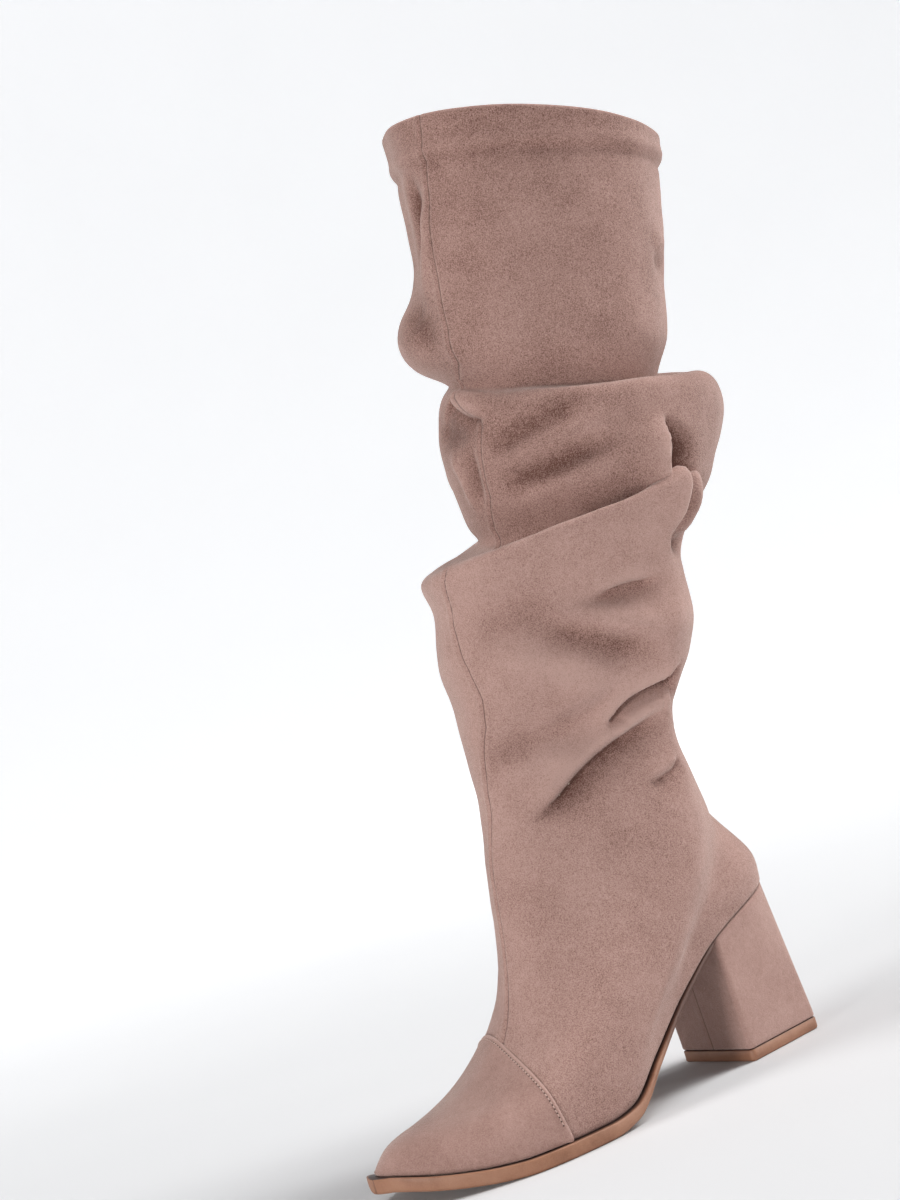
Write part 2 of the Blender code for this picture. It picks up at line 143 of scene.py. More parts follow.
# Creases of the suede, each along a curve through a start, a middle and an end, given as degrees around
# from the front to the outer side and as levels. A trough or ridge is soft on both sides. A fold is a lip
# that hangs over a drop on the right-hand side of its run. Fade is the share of the run, in percent, over
# which its ends die away.
Crease = namedtuple("Crease", "name kind a0 l0 a1 l1 a2 l2 width depth fade")
CREASES = [
    Crease("seam hollow", "trough", 2, 1.0, -4, 1.75, -10, 2.6, 5.5, 5.0, 40),
    Crease("seam bank", "ridge", 6, 1.5, 1, 2.15, -9, 3.0, 5.0, 2.4, 40),
    Crease("bump hollow", "trough", -24, 2.7, -9, 3.3, 6, 3.95, 11.0, 4.0, 40),
    Crease("tube nick", "trough", 118, 2.5, 130, 2.5, 142, 2.48, 4.0, 2.4, 45),
    Crease("tube knob", "ridge", 118, 2.2, 130, 2.2, 142, 2.18, 6.0, 1.6, 45),
    Crease("roll end", "fold", -10, 5.9, 2, 6.3, 18, 6.5, 9.0, 5.5, 25),
    Crease("lobe shade", "trough", -28, 6.6, -10, 6.8, 8, 6.95, 6.0, 3.0, 40),
    Crease("strip edge", "ridge", -13, 7.1, -4, 7.7, -4, 8.8, 3.5, 2.6, 35),
    Crease("strip hollow", "trough", 4, 7.0, 4, 7.8, 1, 8.8, 4.0, 2.6, 35),
    Crease("tier trough high", "trough", 66, 6.55, 40, 6.85, 12, 7.35, 7.0, 3.4, 30),
    Crease("tier ridge high", "ridge", 84, 6.85, 50, 7.25, 16, 7.75, 7.0, 2.5, 30),
    Crease("tier trough low", "trough", 78, 7.25, 45, 7.85, 12, 8.4, 7.0, 3.8, 30),
    Crease("tier ridge low", "ridge", 84, 7.75, 50, 8.3, 16, 8.85, 6.5, 2.2, 30),
    Crease("tier bank", "ridge", 86, 7.0, 84, 7.7, 80, 8.3, 8.0, 1.5, 35),
    Crease("roll pocket", "fold", 98, 9.1, 93.8, 8.1, 98, 7.0, 11.0, 20.0, 30),
    Crease("fold end", "fold", 106, 11.9, 106, 11.4, 104, 10.7, 7.0, 9.0, 30),
    Crease("end notch", "trough", 98, 11.95, 118, 12.0, 138, 12.05, 5.0, 7.0, 40),
    Crease("dimple", "fold", 58, 12.5, 76, 12.3, 92, 12.38, 7.0, 7.0, 35),
    Crease("left band", "trough", 52, 12.4, 32, 12.52, 8, 12.6, 8.0, 2.4, 40),
    Crease("high ridge", "ridge", 50, 12.45, 73, 12.94, 92, 13.6, 8.0, 3.0, 40),
    Crease("long trough", "trough", 33, 12.5, 64, 13.27, 90, 13.82, 8.5, 5.6, 35),
    Crease("low bank", "ridge", 15, 13.05, 47, 13.65, 75, 14.3, 12.0, 3.0, 40),
    Crease("heel fold", "fold", 68, 15.25, 79, 14.55, 112, 14.03, 7.5, 11.0, 22),
    Crease("heel cord", "ridge", 70, 15.3, 84, 14.94, 107, 14.66, 4.5, 5.2, 30),
    Crease("long crease", "fold", 27, 16.55, 57, 15.58, 93, 14.98, 13.0, 8.2, 28),
    Crease("short crease", "fold", 78, 16.3, 88, 16.13, 101, 15.92, 7.0, 4.4, 35),
    Crease("instep trough", "trough", 66, 14.85, 38, 15.2, 8, 15.35, 8.0, 3.0, 35),
    Crease("instep ridge", "ridge", 64, 15.25, 40, 15.55, 14, 15.77, 8.0, 2.5, 40),
    Crease("inner fold", "fold", -112, 14.1, -86, 14.55, -68, 15.2, 9.0, 8.0, 25),
    Crease("inner crease", "fold", -100, 15.2, -72, 15.7, -40, 16.5, 13.0, 5.0, 30),
    Crease("inner trough", "trough", -24, 12.5, -58, 12.9, -98, 13.6, 10.0, 4.0, 35),
    Crease("inner tier trough", "trough", -40, 6.8, -66, 7.4, -92, 8.2, 8.0, 3.6, 40),
    Crease("inner tier ridge", "ridge", -30, 7.4, -52, 7.9, -76, 8.4, 8.0, 2.0, 40),
    Crease("back trough", "trough", 150, 7.0, 176, 7.5, 208, 7.3, 9.0, 3.6, 40),
    Crease("back low trough", "trough", 148, 12.4, 176, 12.8, 206, 12.5, 9.0, 3.6, 40),
]
NEAR_TURNS = 0.11
NEAR_LEVELS = 1.3
FOLD_STEP = (-2.2, 3.0)
LIP_REACH = 0.7
LIP_RISE = 0.3
FOLD_OVERHANG = 0.36
MOST_OVERHANG = 5.0
OVERHANG_PLACE = 0.3
OVERHANG_WIDTH = 2.6
# Painted shade in the creases' hollows and painted highlight on their ridges and lips: the depth in
# millimetres for one step, the gain and limit of the shade, and the highlight for each millimetre a lip
# hangs over
PAINTED_LIGHT_DEPTH = 8.0
PAINTED_SHADE_GAIN = 1.5
LIP_PAINTED_HIGHLIGHT = 0.12
SLOW_RIPPLE = 0.35
QUICK_RIPPLE = 0.2

# Places where the rolls are puffed out or stand up further than their rings, and their reach around and down
Puff = namedtuple("Puff", "name around level across down out rise")
PUFFS = [
    Puff("roll lobe", 4, 6.1, 12, 0.3, 2.5, 0.5),
    Puff("fold end", 100, 11.1, 12, 0.45, 4.0, 0.0),
    Puff("fold ear", 120, 11.55, 9, 0.36, 6.0, 0.0),
]

# Painted light and shade by level: lighter above 0, darker below, as the tiers face to or from the light
Brush = namedtuple("Brush", "level nap")
LEVEL_PAINTED_LIGHT = [
    Brush(0.0, -0.35),
    Brush(1.2, -0.2),
    Brush(5.6, -0.15),
    Brush(7.0, -0.25),
    Brush(9.2, -0.3),
    Brush(10.6, 0.0),
    Brush(11.6, 0.25),
    Brush(13.6, 0.3),
    Brush(16.0, 0.2),
    Brush(18.0, 0.1),
]

# Course of the front seam, as degrees around at each level
Stop = namedtuple("Stop", "level around")
FRONT_SEAM = [
    Stop(0.0, 15.0),
    Stop(1.0, 12.0),
    Stop(1.6, 10.0),
    Stop(2.3, 6.0),
    Stop(2.8, 6.5),
    Stop(3.5, 9.5),
    Stop(4.2, 7.0),
    Stop(4.7, -3.5),
    Stop(5.8, -2.0),
    Stop(6.1, 0.0),
    Stop(6.45, 9.0),
    Stop(6.7, 13.5),
    Stop(7.4, 10.5),
    Stop(8.4, 9.5),
    Stop(9.2, 3.0),
    Stop(11.4, 7.5),
    Stop(11.9, 3.5),
    Stop(12.4, 1.5),
    Stop(13.2, 9.0),
    Stop(14.0, 13.0),
    Stop(14.7, 13.0),
    Stop(15.4, 6.5),
    Stop(15.9, 2.0),
    Stop(16.5, 0.0),
    Stop(17.3, -1.5),
    Stop(17.8, -0.5),
    Stop(18.4, 5.0),
    Stop(19.0, 10.0),
    Stop(22.0, 12.0),
]

# Rows of the fine skin between two levels
Rows = namedtuple("Rows", "first last count")
SKIN_ROWS = [
    Rows(0.0, 4.0, 44),
    Rows(4.0, 6.6, 48),
    Rows(6.6, 9.0, 30),
    Rows(9.0, 11.5, 44),
    Rows(11.5, 14.0, 34),
    Rows(14.0, 16.6, 68),
    Rows(16.6, 22.0, 42),
]
SKIN_TURNS = 304
SIDE_TURN = 0.17
SIDE_CLOSER = 0.42
LINING_TURNS = 96
LINING_ROWS = 120

# The collar's hem, the seams and the stitches
HEM_WIDTH = 19.0
HEM_TAPER = 8.0
HEM_RISE = 0.6
HEM_CREST = 1.0
HEM_GROOVE = 0.7
HEM_SHADE = 0.12
HEM_EDGE = 1.6
CREST_ABOVE = 4.0
CREST_WIDTH = 3.0
GROOVE_BELOW = 2.0
GROOVE_WIDTH = 2.4
RIM_THICK = 3.0
RIM_STEPS = 6
TURN_IN = 13.0
LINING_OFFSET = 2.7
NO_SEAM = 50
SEAM_LIP = 0.45
SEAM_GROOVE = 0.7
LIP_PLACE = 1.8
LIP_WIDTH = 1.3
SEAM_WIDTH = 0.8
CAP_BASE = 0.15
CAP_LIFT = 0.8
EDGE_TUCK = 1.0
CAP_START = 19.2
CAP_FLAT = 2.8
CAP_TURNS = 150
CAP_ROWS = 40
STITCH_INSET = 2.1
STITCH_PITCH = 2.1
STITCH_LENGTH = 1.5
STITCH_THICK = 0.6
STITCH_RAISE = 0.16
HOLE_LENGTH = 0.8
HOLE_WIDTH = 0.75
HOLE_FLAT = 0.3
BEAD_RINGS = 7
BEAD_SIDES = 8
BREAST_SEAM = 0.58
HEEL_BRUSH = 0.25
# Where the sole's edge under the arch fades from dark brown, edge paint and painted shade under the arch, to
# tan
WAIST_INK_AND_SHADE_END = 88.0
WAIST_TAN = 112.0

# The camera: its place, and its turn, tilt and roll in degrees
CAMERA_PLACE = (802.3, 990.1, 267.9)
CAMERA_TURN = 34.45
CAMERA_TILT = 0.862
CAMERA_ROLL = 16.8
CAMERA_LENS = 78.0
SENSOR_WIDTH = 36.0


def unit(vectors):
    return vectors / np.linalg.norm(vectors, axis=-1)[..., None]


def run_along(points):
    """Distance of each point from the first, along the line through them."""
    return np.concatenate([[0], np.cumsum(np.linalg.norm(np.diff(points, axis=0), axis=1))])


def turns_from(middle, turns):
    return np.mod(turns - middle + 0.5, 1) - 0.5


def column(name):
    return np.array([getattr(section, name) for section in LAST], float)


def along_last(name, forward):
    """A column of the last at these distances, without overshoot between its rows."""
    places = column("forward") / 100 * LAST_LENGTH
    values = column(name)
    slopes = np.diff(values) / np.diff(places)
    product = slopes[:-1] * slopes[1:]
    total = slopes[:-1] + slopes[1:]
    inner = np.where(product > 0, 2 * product / np.where(total == 0, 1, total), 0)
    tangents = np.concatenate([slopes[:1], inner, slopes[-1:]])
    forward = np.clip(forward, places[0], places[-1])
    row = np.clip(np.searchsorted(places, forward) - 1, 0, len(places) - 2)
    width = np.diff(places)[row]
    share = (forward - places[row]) / width
    rest = 1 - share
    return (
        values[row] * rest**2 * (1 + 2 * share)
        + values[row + 1] * share**2 * (1 + 2 * rest)
        + width * share * rest * (tangents[row] * rest - tangents[row + 1] * share)
    )


def feather_height(forward):
    """Height of the line where the upper meets the sole."""
    climb = along_last("climb", forward) / 100 * HEEL_RISE
    return SOLE_EDGE + climb + along_last("spring", forward) / 100 * TOE_SPRING


def sole_bottom(forward):
    return feather_height(forward) - along_last("thick", forward) / 100 * SOLE_EDGE


def spline_matrix(places, periodic):
    """Takes values at these places to the second derivatives of a cubic spline through them."""
    count = len(places)
    steps = np.diff(places)
    left = np.eye(count)
    right = np.zeros((count, count))
    for i in range(1, count - 1):
        left[i, i - 1 : i + 2] = steps[i - 1], 2 * (steps[i - 1] + steps[i]), steps[i]
        right[i, i - 1] = 6 / steps[i - 1]
        right[i, i] = -6 / steps[i - 1] - 6 / steps[i]
        right[i, i + 1] = 6 / steps[i]
    if periodic:
        left[0, [0, 1, -2]] = 2 * (steps[-1] + steps[0]), steps[0], steps[-1]
        right[0, [0, 1, -2]] = -6 / steps[-1] - 6 / steps[0], 6 / steps[0], 6 / steps[-1]
        left[-1, [0, -1]] = -1, 1
    return np.linalg.solve(left, right)


def spline(places, values, wanted, periodic=False):
    """Cubic spline through values, whose first axis runs over the places."""
    bends = np.tensordot(spline_matrix(places, periodic), values, 1)
    row = np.clip(np.searchsorted(places, wanted, side="right") - 1, 0, len(places) - 2)
    shape = (-1,) + (1,) * (values.ndim - 1)
    width = np.diff(places)[row].reshape(shape)
    share = (wanted - places[row]).reshape(shape) / width
    rest = 1 - share
    return (
        rest * values[row]
        + share * values[row + 1]
        + width**2 / 6 * ((rest**3 - rest) * bends[row] + (share**3 - share) * bends[row + 1])
    )


def outline_loop():
    """The last's outline, closed, at even steps of turn: 0 at the toe, 0.5 at the heel's back."""
    forward = column("forward") / 100 * LAST_LENGTH
    outer = np.stack([forward, column("lateral") / 100 * BALL_WIDTH], 1)[::-1]
    inner = np.stack([forward, column("medial") / 100 * BALL_WIDTH], 1)[1:]
    points = np.concatenate([outer, inner])
    places = run_along(points)
    heel = places[len(outer) - 1]
    half = np.linspace(0, 1, 600)
    wanted = np.concatenate([half * heel, heel + half[1:] * (places[-1] - heel)])
    return spline(places, points, wanted, periodic=True)


OUTLINE = outline_loop()
OUTLINE_TURNS = np.linspace(0, 1, len(OUTLINE))


def feather_plan(turns):
    """Places of the last's outline, seen from above."""
    turns = np.mod(turns, 1)
    return np.stack([np.interp(turns, OUTLINE_TURNS, OUTLINE[:, i]) for i in (0, 1)], 1)


def outward(turns):
    """Level directions that point out of the last's outline."""
    step = 0.002
    tangent = feather_plan(turns + step) - feather_plan(turns - step)
    return unit(np.stack([tangent[:, 1], -tangent[:, 0]], 1))


def feather_edge(turns, inset=0.0):
    """Points of the line where the upper meets the sole, drawn in by an inset."""
    plan = feather_plan(turns) - outward(turns) * inset
    return np.column_stack([plan, feather_height(plan[:, 0])])


def side_lines(offset, stations):
    """The outline's outer and inner lines, moved out by offset, at these distances forward."""
    turns = np.linspace(0, 0.5, 500)
    lines = []
    for way in (turns, 1 - turns):
        points = feather_plan(way) + outward(way) * offset
        order = np.argsort(points[:, 0])
        lines.append(np.interp(stations, points[order, 0], points[order, 1]))
    return lines


def ring_points(ring, angle):
    ahead = np.cos(angle)
    aside = np.sin(angle)
    forward = np.where(ahead > 0, ring.front, ring.back) * ahead
    side = np.where(aside > 0, ring.lateral, ring.medial) * aside
    side = side * (1 - ring.narrow / 100 * np.minimum(ahead, 0) ** 2)
    height = ring.height + (ring.tilt_forward * forward + ring.tilt_side * side) / 100
    lean = math.radians(SHAFT_LEAN)
    up = height - ANKLE_HEIGHT
    along = ANKLE_FORWARD + forward * math.cos(lean) - up * math.sin(lean)
    above = ANKLE_HEIGHT + forward * math.sin(lean) + up * math.cos(lean)
    return np.stack([along, side, above], -1)


def foot_rings(ankle, turns):
    """Rings from the ankle to the sole: along each turn the wall drops, then swings out to the edge."""
    angle = 2 * np.pi * turns
    front = np.maximum(np.cos(angle), 0) ** 2
    back = np.maximum(-np.cos(angle), 0) ** 2
    side = 1 - front - back
    drop = front * FRONT.drop + side * SIDE.drop + back * BACK.drop
    push = front * FRONT.push + side * SIDE.push + back * BACK.push
    edge = feather_edge(turns)
    below = ankle + np.stack([push * np.cos(angle), push * np.sin(angle), -drop], 1)
    bulge = along_last("bulge", edge[:, 0])[:, None] * outward(turns)
    above = edge + np.column_stack([bulge, along_last("rise", edge[:, 0])])
    rings = []
    for step in np.linspace(0, 1, FOOT_RINGS + 1)[1:]:
        rest = 1 - step
        rings.append(
            rest**3 * ankle
            + 3 * rest**2 * step * below
            + 3 * rest * step**2 * above
            + step**3 * edge
        )
    return rings


def main_rings(turns):
    rings = [ring_points(ring, 2 * np.pi * turns) for ring in SHAFT]
    return np.array(rings + foot_rings(rings[-1], turns))


RING_COUNT = len(main_rings(np.array([0.0])))
LAST_LEVEL = RING_COUNT - 1
ANKLE_LEVEL = LAST_LEVEL - FOOT_RINGS


def ring_places():
    """One measure down the upper for all turns: the mean distance between rings."""
    rings = main_rings(np.linspace(0, 1, 24, endpoint=False))
    steps = np.linalg.norm(np.diff(rings, axis=0), axis=2).mean(axis=1)
    return np.concatenate([[0], np.cumsum(steps)])


RING_PLACES = ring_places()


def place_of(levels):
    """Millimetres down the upper from the collar at these levels."""
    return np.interp(levels, np.arange(RING_COUNT), RING_PLACES)


def level_at(places):
    return np.interp(places, RING_PLACES, np.arange(RING_COUNT))


def plain_skin(turns, levels):
    """Points of the upper's outside without swells, a row for each level and a column for each turn."""
    return spline(RING_PLACES, main_rings(turns), place_of(levels))


def plain_line(turns, levels):
    """Points of the upper's outside without swells, at pairs of a turn and a level."""
    pair = np.arange(len(turns))
    return plain_skin(turns, levels)[pair, pair]


def normals(surface, turns, levels):
    turn_step = 0.0015
    level_step = 0.02
    around = surface(turns + turn_step, levels) - surface(turns - turn_step, levels)
    low = np.clip(levels + level_step, 0, LAST_LEVEL)
    high = np.clip(levels - level_step, 0, LAST_LEVEL)
    down = surface(turns, low) - surface(turns, high)
    return unit(np.cross(down, around))


def swell_depth(points, turns):
    """How far the swells move these points out of the plain skin."""
    lean = math.radians(SHAFT_LEAN)
    height = ANKLE_HEIGHT + (points[..., 2] - ANKLE_HEIGHT) * math.cos(lean)
    height -= (points[..., 0] - ANKLE_FORWARD) * math.sin(lean)
    depth = np.zeros(height.shape)
    for swell in SWELLS:
        across = turns_from(swell.around / 360, turns) * SWELL_GIRTH
        up = height - swell.height
        slope = math.radians(swell.slope)
        run = (across * math.cos(slope) + up * math.sin(slope)) / swell.run
        reach = (up * math.cos(slope) - across * math.sin(slope)) / swell.reach
        depth += swell.depth * np.exp(-(run**2) - reach**2)
    return depth


def swelled(surface, turns, levels):
    points = surface(turns, levels)
    return points + normals(surface, turns, levels) * swell_depth(points, turns)[..., None]


def skin(turns, levels):
    return swelled(plain_skin, turns, levels)


def skin_line(turns, levels):
    return swelled(plain_line, turns, levels)


def smooth(low, high, value):
    share = np.clip((value - low) / (high - low), 0, 1)
    return share * share * (3 - 2 * share)


def bell(value):
    return np.exp(-(value**2))


def crease_path(crease, count=160):
    """Turns and levels along a crease's curve."""
    share = np.linspace(0, 1, count)
    around = np.array([crease.a0, crease.a1, crease.a2], float) / 360
    level = np.array([crease.l0, crease.l1, crease.l2], float)
    weights = np.stack([(1 - share) ** 2, 2 * share * (1 - share), share**2])
    bent = []
    for stops in (around, level):
        middle = 2 * stops[1] - (stops[0] + stops[2]) / 2
        bent.append(np.array([stops[0], middle, stops[2]]) @ weights)
    return bent


def nearest_on(path, points):
    """Distance of each point from the path, and the number of the path's nearest place."""
    distance = np.full(points.shape[:2], np.inf)
    nearest = np.zeros(points.shape[:2], int)
    for i, place in enumerate(path):
        gap = np.linalg.norm(points - place, axis=2)
        closer = gap < distance
        distance = np.where(closer, gap, distance)
        nearest = np.where(closer, i, nearest)
    return distance, nearest


def crease_moves(points, facing, turns, levels):
    """How the creases move the points of the skin, and their painted shade in hollows and painted highlight
    on ridges and lips.
    """
    moves = np.zeros(points.shape)
    nap = np.zeros(points.shape[:2])
    for crease in CREASES:
        path_turns, path_levels = crease_path(crease)
        path = skin_line(path_turns, path_levels)
        middle = path_turns.mean()
        away = turns_from(middle, turns)
        columns = np.abs(away) < np.abs(path_turns - middle).max() + NEAR_TURNS
        rows = (levels > path_levels.min() - NEAR_LEVELS) & (levels < path_levels.max() + NEAR_LEVELS)
        block = np.ix_(rows, columns)
        distance, nearest = nearest_on(path, points[block])
        run_around = path_turns * SWELL_GIRTH
        run_down = place_of(path_levels)
        step_around = np.gradient(run_around)[nearest]
        step_down = np.gradient(run_down)[nearest]
        off_around = (middle + away[columns])[None, :] * SWELL_GIRTH - run_around[nearest]
        off_down = place_of(levels[rows])[:, None] - run_down[nearest]
        side = np.sign(step_around * off_down - step_down * off_around)
        share = nearest / (len(path) - 1)
        fade = crease.fade / 100
        taper = smooth(0, fade, share) * smooth(0, fade, 1 - share)
        depth, shift = profile(crease, distance * side)
        right = unit(np.cross(np.gradient(path, axis=0)[nearest], facing[block]))
        moves[block] += (taper * depth)[:, :, None] * facing[block] + (taper * shift)[:, :, None] * right
        # Painted shade where the skin sinks in, painted highlight where it rises and where a lip hangs over
        nap[block] += taper * (depth / PAINTED_LIGHT_DEPTH + shift * LIP_PAINTED_HIGHLIGHT)
    return moves, np.clip(np.where(nap < 0, PAINTED_SHADE_GAIN * nap, nap), -PAINTED_SHADE_GAIN, 1)


def profile(crease, across):
    """A crease's section at this distance, positive on the right: how far the skin moves out and over."""
    if crease.kind == "trough":
        return -crease.depth * bell(across / crease.width), np.zeros(across.shape)
    if crease.kind == "ridge":
        return crease.depth * bell(across / crease.width), np.zeros(across.shape)
    step = smooth(*FOLD_STEP, across)
    lip = bell(across / (LIP_REACH * crease.width)) * (1 - step)
    ending = smooth(3 * crease.width, crease.width, across)
    drop = np.exp(-np.maximum(across, 0) / crease.width) * ending * step
    over = bell((across + OVERHANG_PLACE) / OVERHANG_WIDTH)
    return crease.depth * (LIP_RISE * lip - drop), min(FOLD_OVERHANG * crease.depth, MOST_OVERHANG) * over


def puff_moves(facing, turns, levels):
    """How the puffed places move the points of the skin."""
    moves = np.zeros(facing.shape)
    for puff in PUFFS:
        away = turns_from(puff.around / 360, turns) * 360 / puff.across
        down = (levels - puff.level) / puff.down
        share = (bell(down)[:, None] * bell(away)[None, :])[:, :, None]
        moves += share * (facing * puff.out + [0, 0, puff.rise])
    return moves


def seam_offset(turns, levels):
    """Millimetres around from the front seam, for each level and turn."""
    course = np.interp(levels, *np.array(FRONT_SEAM).T) / 360
    away = turns_from(course[:, None], turns[None, :])
    step = 0.01
    span = skin_line(course + step, levels) - skin_line(course - step, levels)
    rate = np.linalg.norm(span, axis=1) / (2 * step)
    slant = np.gradient(course) * rate / np.maximum(np.abs(np.gradient(place_of(levels))), 0.5)
    lean = 1 / np.sqrt(1 + np.clip(slant, -1.5, 1.5) ** 2)
    return away * (rate * lean)[:, None]


def hem_depth(places, turns):
    """The hem's step and shade, by distance down from the rim. The hem is narrower at the back."""
    width = HEM_WIDTH - HEM_TAPER * (0.5 - 0.5 * np.cos(2 * math.pi * turns))
    below = places[:, None] - width[None, :]
    band = 1 - smooth(-HEM_EDGE, HEM_EDGE, below)
    crest = bell((below + CREST_ABOVE) / CREST_WIDTH)
    groove = bell((below - GROOVE_BELOW) / GROOVE_WIDTH)
    return HEM_RISE * band + HEM_CREST * crest - HEM_GROOVE * groove, HEM_SHADE * (crest - groove)


def seam_depth(offset):
    lips = bell((np.abs(offset) - LIP_PLACE) / LIP_WIDTH)
    groove = bell(offset / SEAM_WIDTH)
    return SEAM_LIP * lips - SEAM_GROOVE * groove


def ripple(points):
    """A slight unevenness of the leather, from waves of different lengths."""
    x, y, z = points[:, :, 0], points[:, :, 1], points[:, :, 2]
    slow = np.sin(0.11 * x + 0.07 * z + 1.3) * np.sin(0.10 * y - 0.05 * z + 0.4)
    quick = np.sin(0.21 * y + 0.16 * z) * np.sin(0.19 * x - 0.13 * z + 2.1)
    return SLOW_RIPPLE * slow + QUICK_RIPPLE * quick


def worn_skin(turns, levels):
    """The skin with its creases, hem and seam, its normals, the distance from the seam, and its painted
    light and shade.
    """
    base = skin(turns, levels)
    facing = normals(skin, turns, levels)
    offset = seam_offset(turns, levels)
    seam = np.where((levels <= CAP_START)[:, None], seam_depth(offset), 0)
    calm = smooth(LAST_LEVEL, LAST_LEVEL - 1.5, levels)[:, None]
    hem, shade = hem_depth(place_of(levels), turns)
    depth = seam + hem + ripple(base) * calm
    moves, nap = crease_moves(base, facing, turns, levels)
    # Painted highlight on the hem's crest, painted shade in its groove, and painted light and shade by level
    nap += shade + np.interp(levels, *np.array(LEVEL_PAINTED_LIGHT).T)[:, None]
    worn = base + facing * depth[:, :, None] + moves + puff_moves(facing, turns, levels)
    return worn, facing, offset, nap


def side_turns(count):
    """Turns around the upper, closer together on the outer side."""
    fine = np.linspace(0, 1, 4000)
    weight = 1 + SIDE_CLOSER * np.cos(2 * math.pi * (fine - SIDE_TURN))
    total = np.concatenate([[0], np.cumsum((weight[1:] + weight[:-1]) / 2)])
    return np.interp(np.arange(count) / count, total / total[-1], fine)


def fine_levels():
    levels = [np.linspace(part.first, part.last, part.count, endpoint=False) for part in SKIN_ROWS]
    return np.append(np.concatenate(levels), LAST_LEVEL)


def new_object(name, points, faces, finish):
    mesh = bpy.data.meshes.new(name)
    mesh.from_pydata(points, [], faces)
    mesh.shade_smooth()
    mesh.materials.append(finish)
    made = bpy.data.objects.new(name, mesh)
    bpy.context.scene.collection.objects.link(made)
    return made


def add_mesh(name, points, faces, finish, slot, attributes=None):
    """A smooth piece that rides on the boot. The points are in millimetres from the heel's back."""
    placed = (np.asarray(points) - [ORIGIN_FORWARD, 0, 0]) * MM
    piece = new_object(name, placed.tolist(), faces, finish)
    for label, values in (attributes or {}).items():
        layer = piece.data.attributes.new(label, "FLOAT", "POINT")
        layer.data.foreach_set("value", np.asarray(values, np.float32).ravel())
    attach(piece, "root")
    return piece


def grid_faces(rows, columns, wrap=True):
    faces = []
    for i in range(rows - 1):
        for j in range(columns if wrap else columns - 1):
            here = i * columns + j
            after = i * columns + (j + 1) % columns
            faces.append((here, here + columns, after + columns, after))
    return faces


def whole_faces(points, faces):
    """The faces without corners that fall together, and without those that are left with no area."""
    whole = []
    for face in faces:
        corners = points[list(face)]
        apart = np.linalg.norm(corners - np.roll(corners, 1, axis=0), axis=1) > TOUCHING
        if apart.sum() > 2:
            whole.append(tuple(np.array(face)[apart].tolist()))
    return whole


def rim_rows(turns):
    """Rows from inside the collar up over its rounded rim, with the distance from the seam."""
    levels = np.append(level_at(np.linspace(TURN_IN, 1.0, 8)), [0.0, 0.2])
    points, facing, offset, _ = worn_skin(turns, levels)
    inner = points[:-1] - facing[:-1] * RIM_THICK
    top = points[-2]
    out = facing[-2]
    up = unit(top - points[-1])
    arcs = []
    for angle in np.linspace(math.pi, 0, RIM_STEPS + 2)[1:-1]:
        across = RIM_THICK / 2 * (math.cos(angle) - 1)
        arcs.append(top + out * across + up * RIM_THICK / 2 * math.sin(angle))
    rows = np.concatenate([inner, np.array(arcs)])
    return rows, np.repeat(offset[-2:-1], len(rows), axis=0)


def add_upper(finish):
    turns = side_turns(SKIN_TURNS)
    levels = fine_levels()
    outside, _, offset, nap = worn_skin(turns, levels)
    outside[-1] = feather_edge(turns, EDGE_TUCK)
    rim, rim_offset = rim_rows(turns)
    points = np.concatenate([rim, outside])
    seam = np.concatenate([rim_offset, offset])
    seam[np.concatenate([np.zeros(len(rim)), levels]) > CAP_START] = NO_SEAM
    # A dark line along the upper's foot, where it meets the sole: a dark joint, and painted shade of the gap
    seam[-2] = 1.0
    seam[-1] = 0.0
    marks = {"seam": seam, "nap": np.concatenate([np.zeros(rim.shape[:2]), nap])}
    faces = grid_faces(*points.shape[:2])
    piece = add_mesh("upper_suede", points.reshape(-1, 3), faces, finish, "suede", marks)
    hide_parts("upper")


def add_lining(finish):
    turns = side_turns(LINING_TURNS)
    first = level_at(TURN_IN - 2)
    levels = level_at(np.linspace(place_of(first), RING_PLACES[-1], LINING_ROWS))
    points, facing, _, _ = worn_skin(turns, levels)
    inside = points - facing * LINING_OFFSET
    faces = [face[::-1] for face in grid_faces(*inside.shape[:2])]
    add_mesh("shaft_lining", inside.reshape(-1, 3), faces, finish, "footbed")


def past_seam(points):
    """How far these points lie ahead of the toe cap's seam, which runs ahead outward and upward."""
    return points[..., 0] - CAP_SEAM - CAP_SLANT * points[..., 1] - CAP_RAKE * points[..., 2]


def cap_levels(turns, run):
    """Levels where the skin, at these turns, has run this far past the cap's seam."""
    levels = np.linspace(ANKLE_LEVEL, LAST_LEVEL, 120)
    ahead = past_seam(skin(turns, levels))
    return np.array([np.interp(run, ahead[:, i], levels) for i in range(len(turns))])


def cap_turns(count):
    """Turns across the toe cap, from the inner to the outer end of its seam."""
    fine = np.linspace(0, 0.45, 400)
    ends = []
    for side in (-1, 1):
        ends.append(side * np.interp(-1, -past_seam(feather_edge(side * fine)), fine))
    return np.linspace(*ends, count)


def offset_points(turns, levels, offset):
    """Points at an offset from the skin, at pairs of a turn and a level."""
    return skin_line(turns, levels) + normals(skin_line, turns, levels) * offset


# Section of the cap's edge: how far past the seam, the share of the lift, the dark line at its foot (a dark
# joint and painted shade under the edge), and the painted highlight along its cut edge
Lap = namedtuple("Lap", "run lift seam nap")
CAP_EDGE = [
    Lap(0.0, 0.0, 0.0, 0.0),
    Lap(0.0, 0.45, 0.25, 0.5),
    Lap(0.15, 0.8, 0.7, 1.0),
    Lap(0.5, 0.97, NO_SEAM, 0.9),
    Lap(1.0, 1.0, NO_SEAM, 0.4),
    Lap(1.8, 1.0, NO_SEAM, 0.0),
]


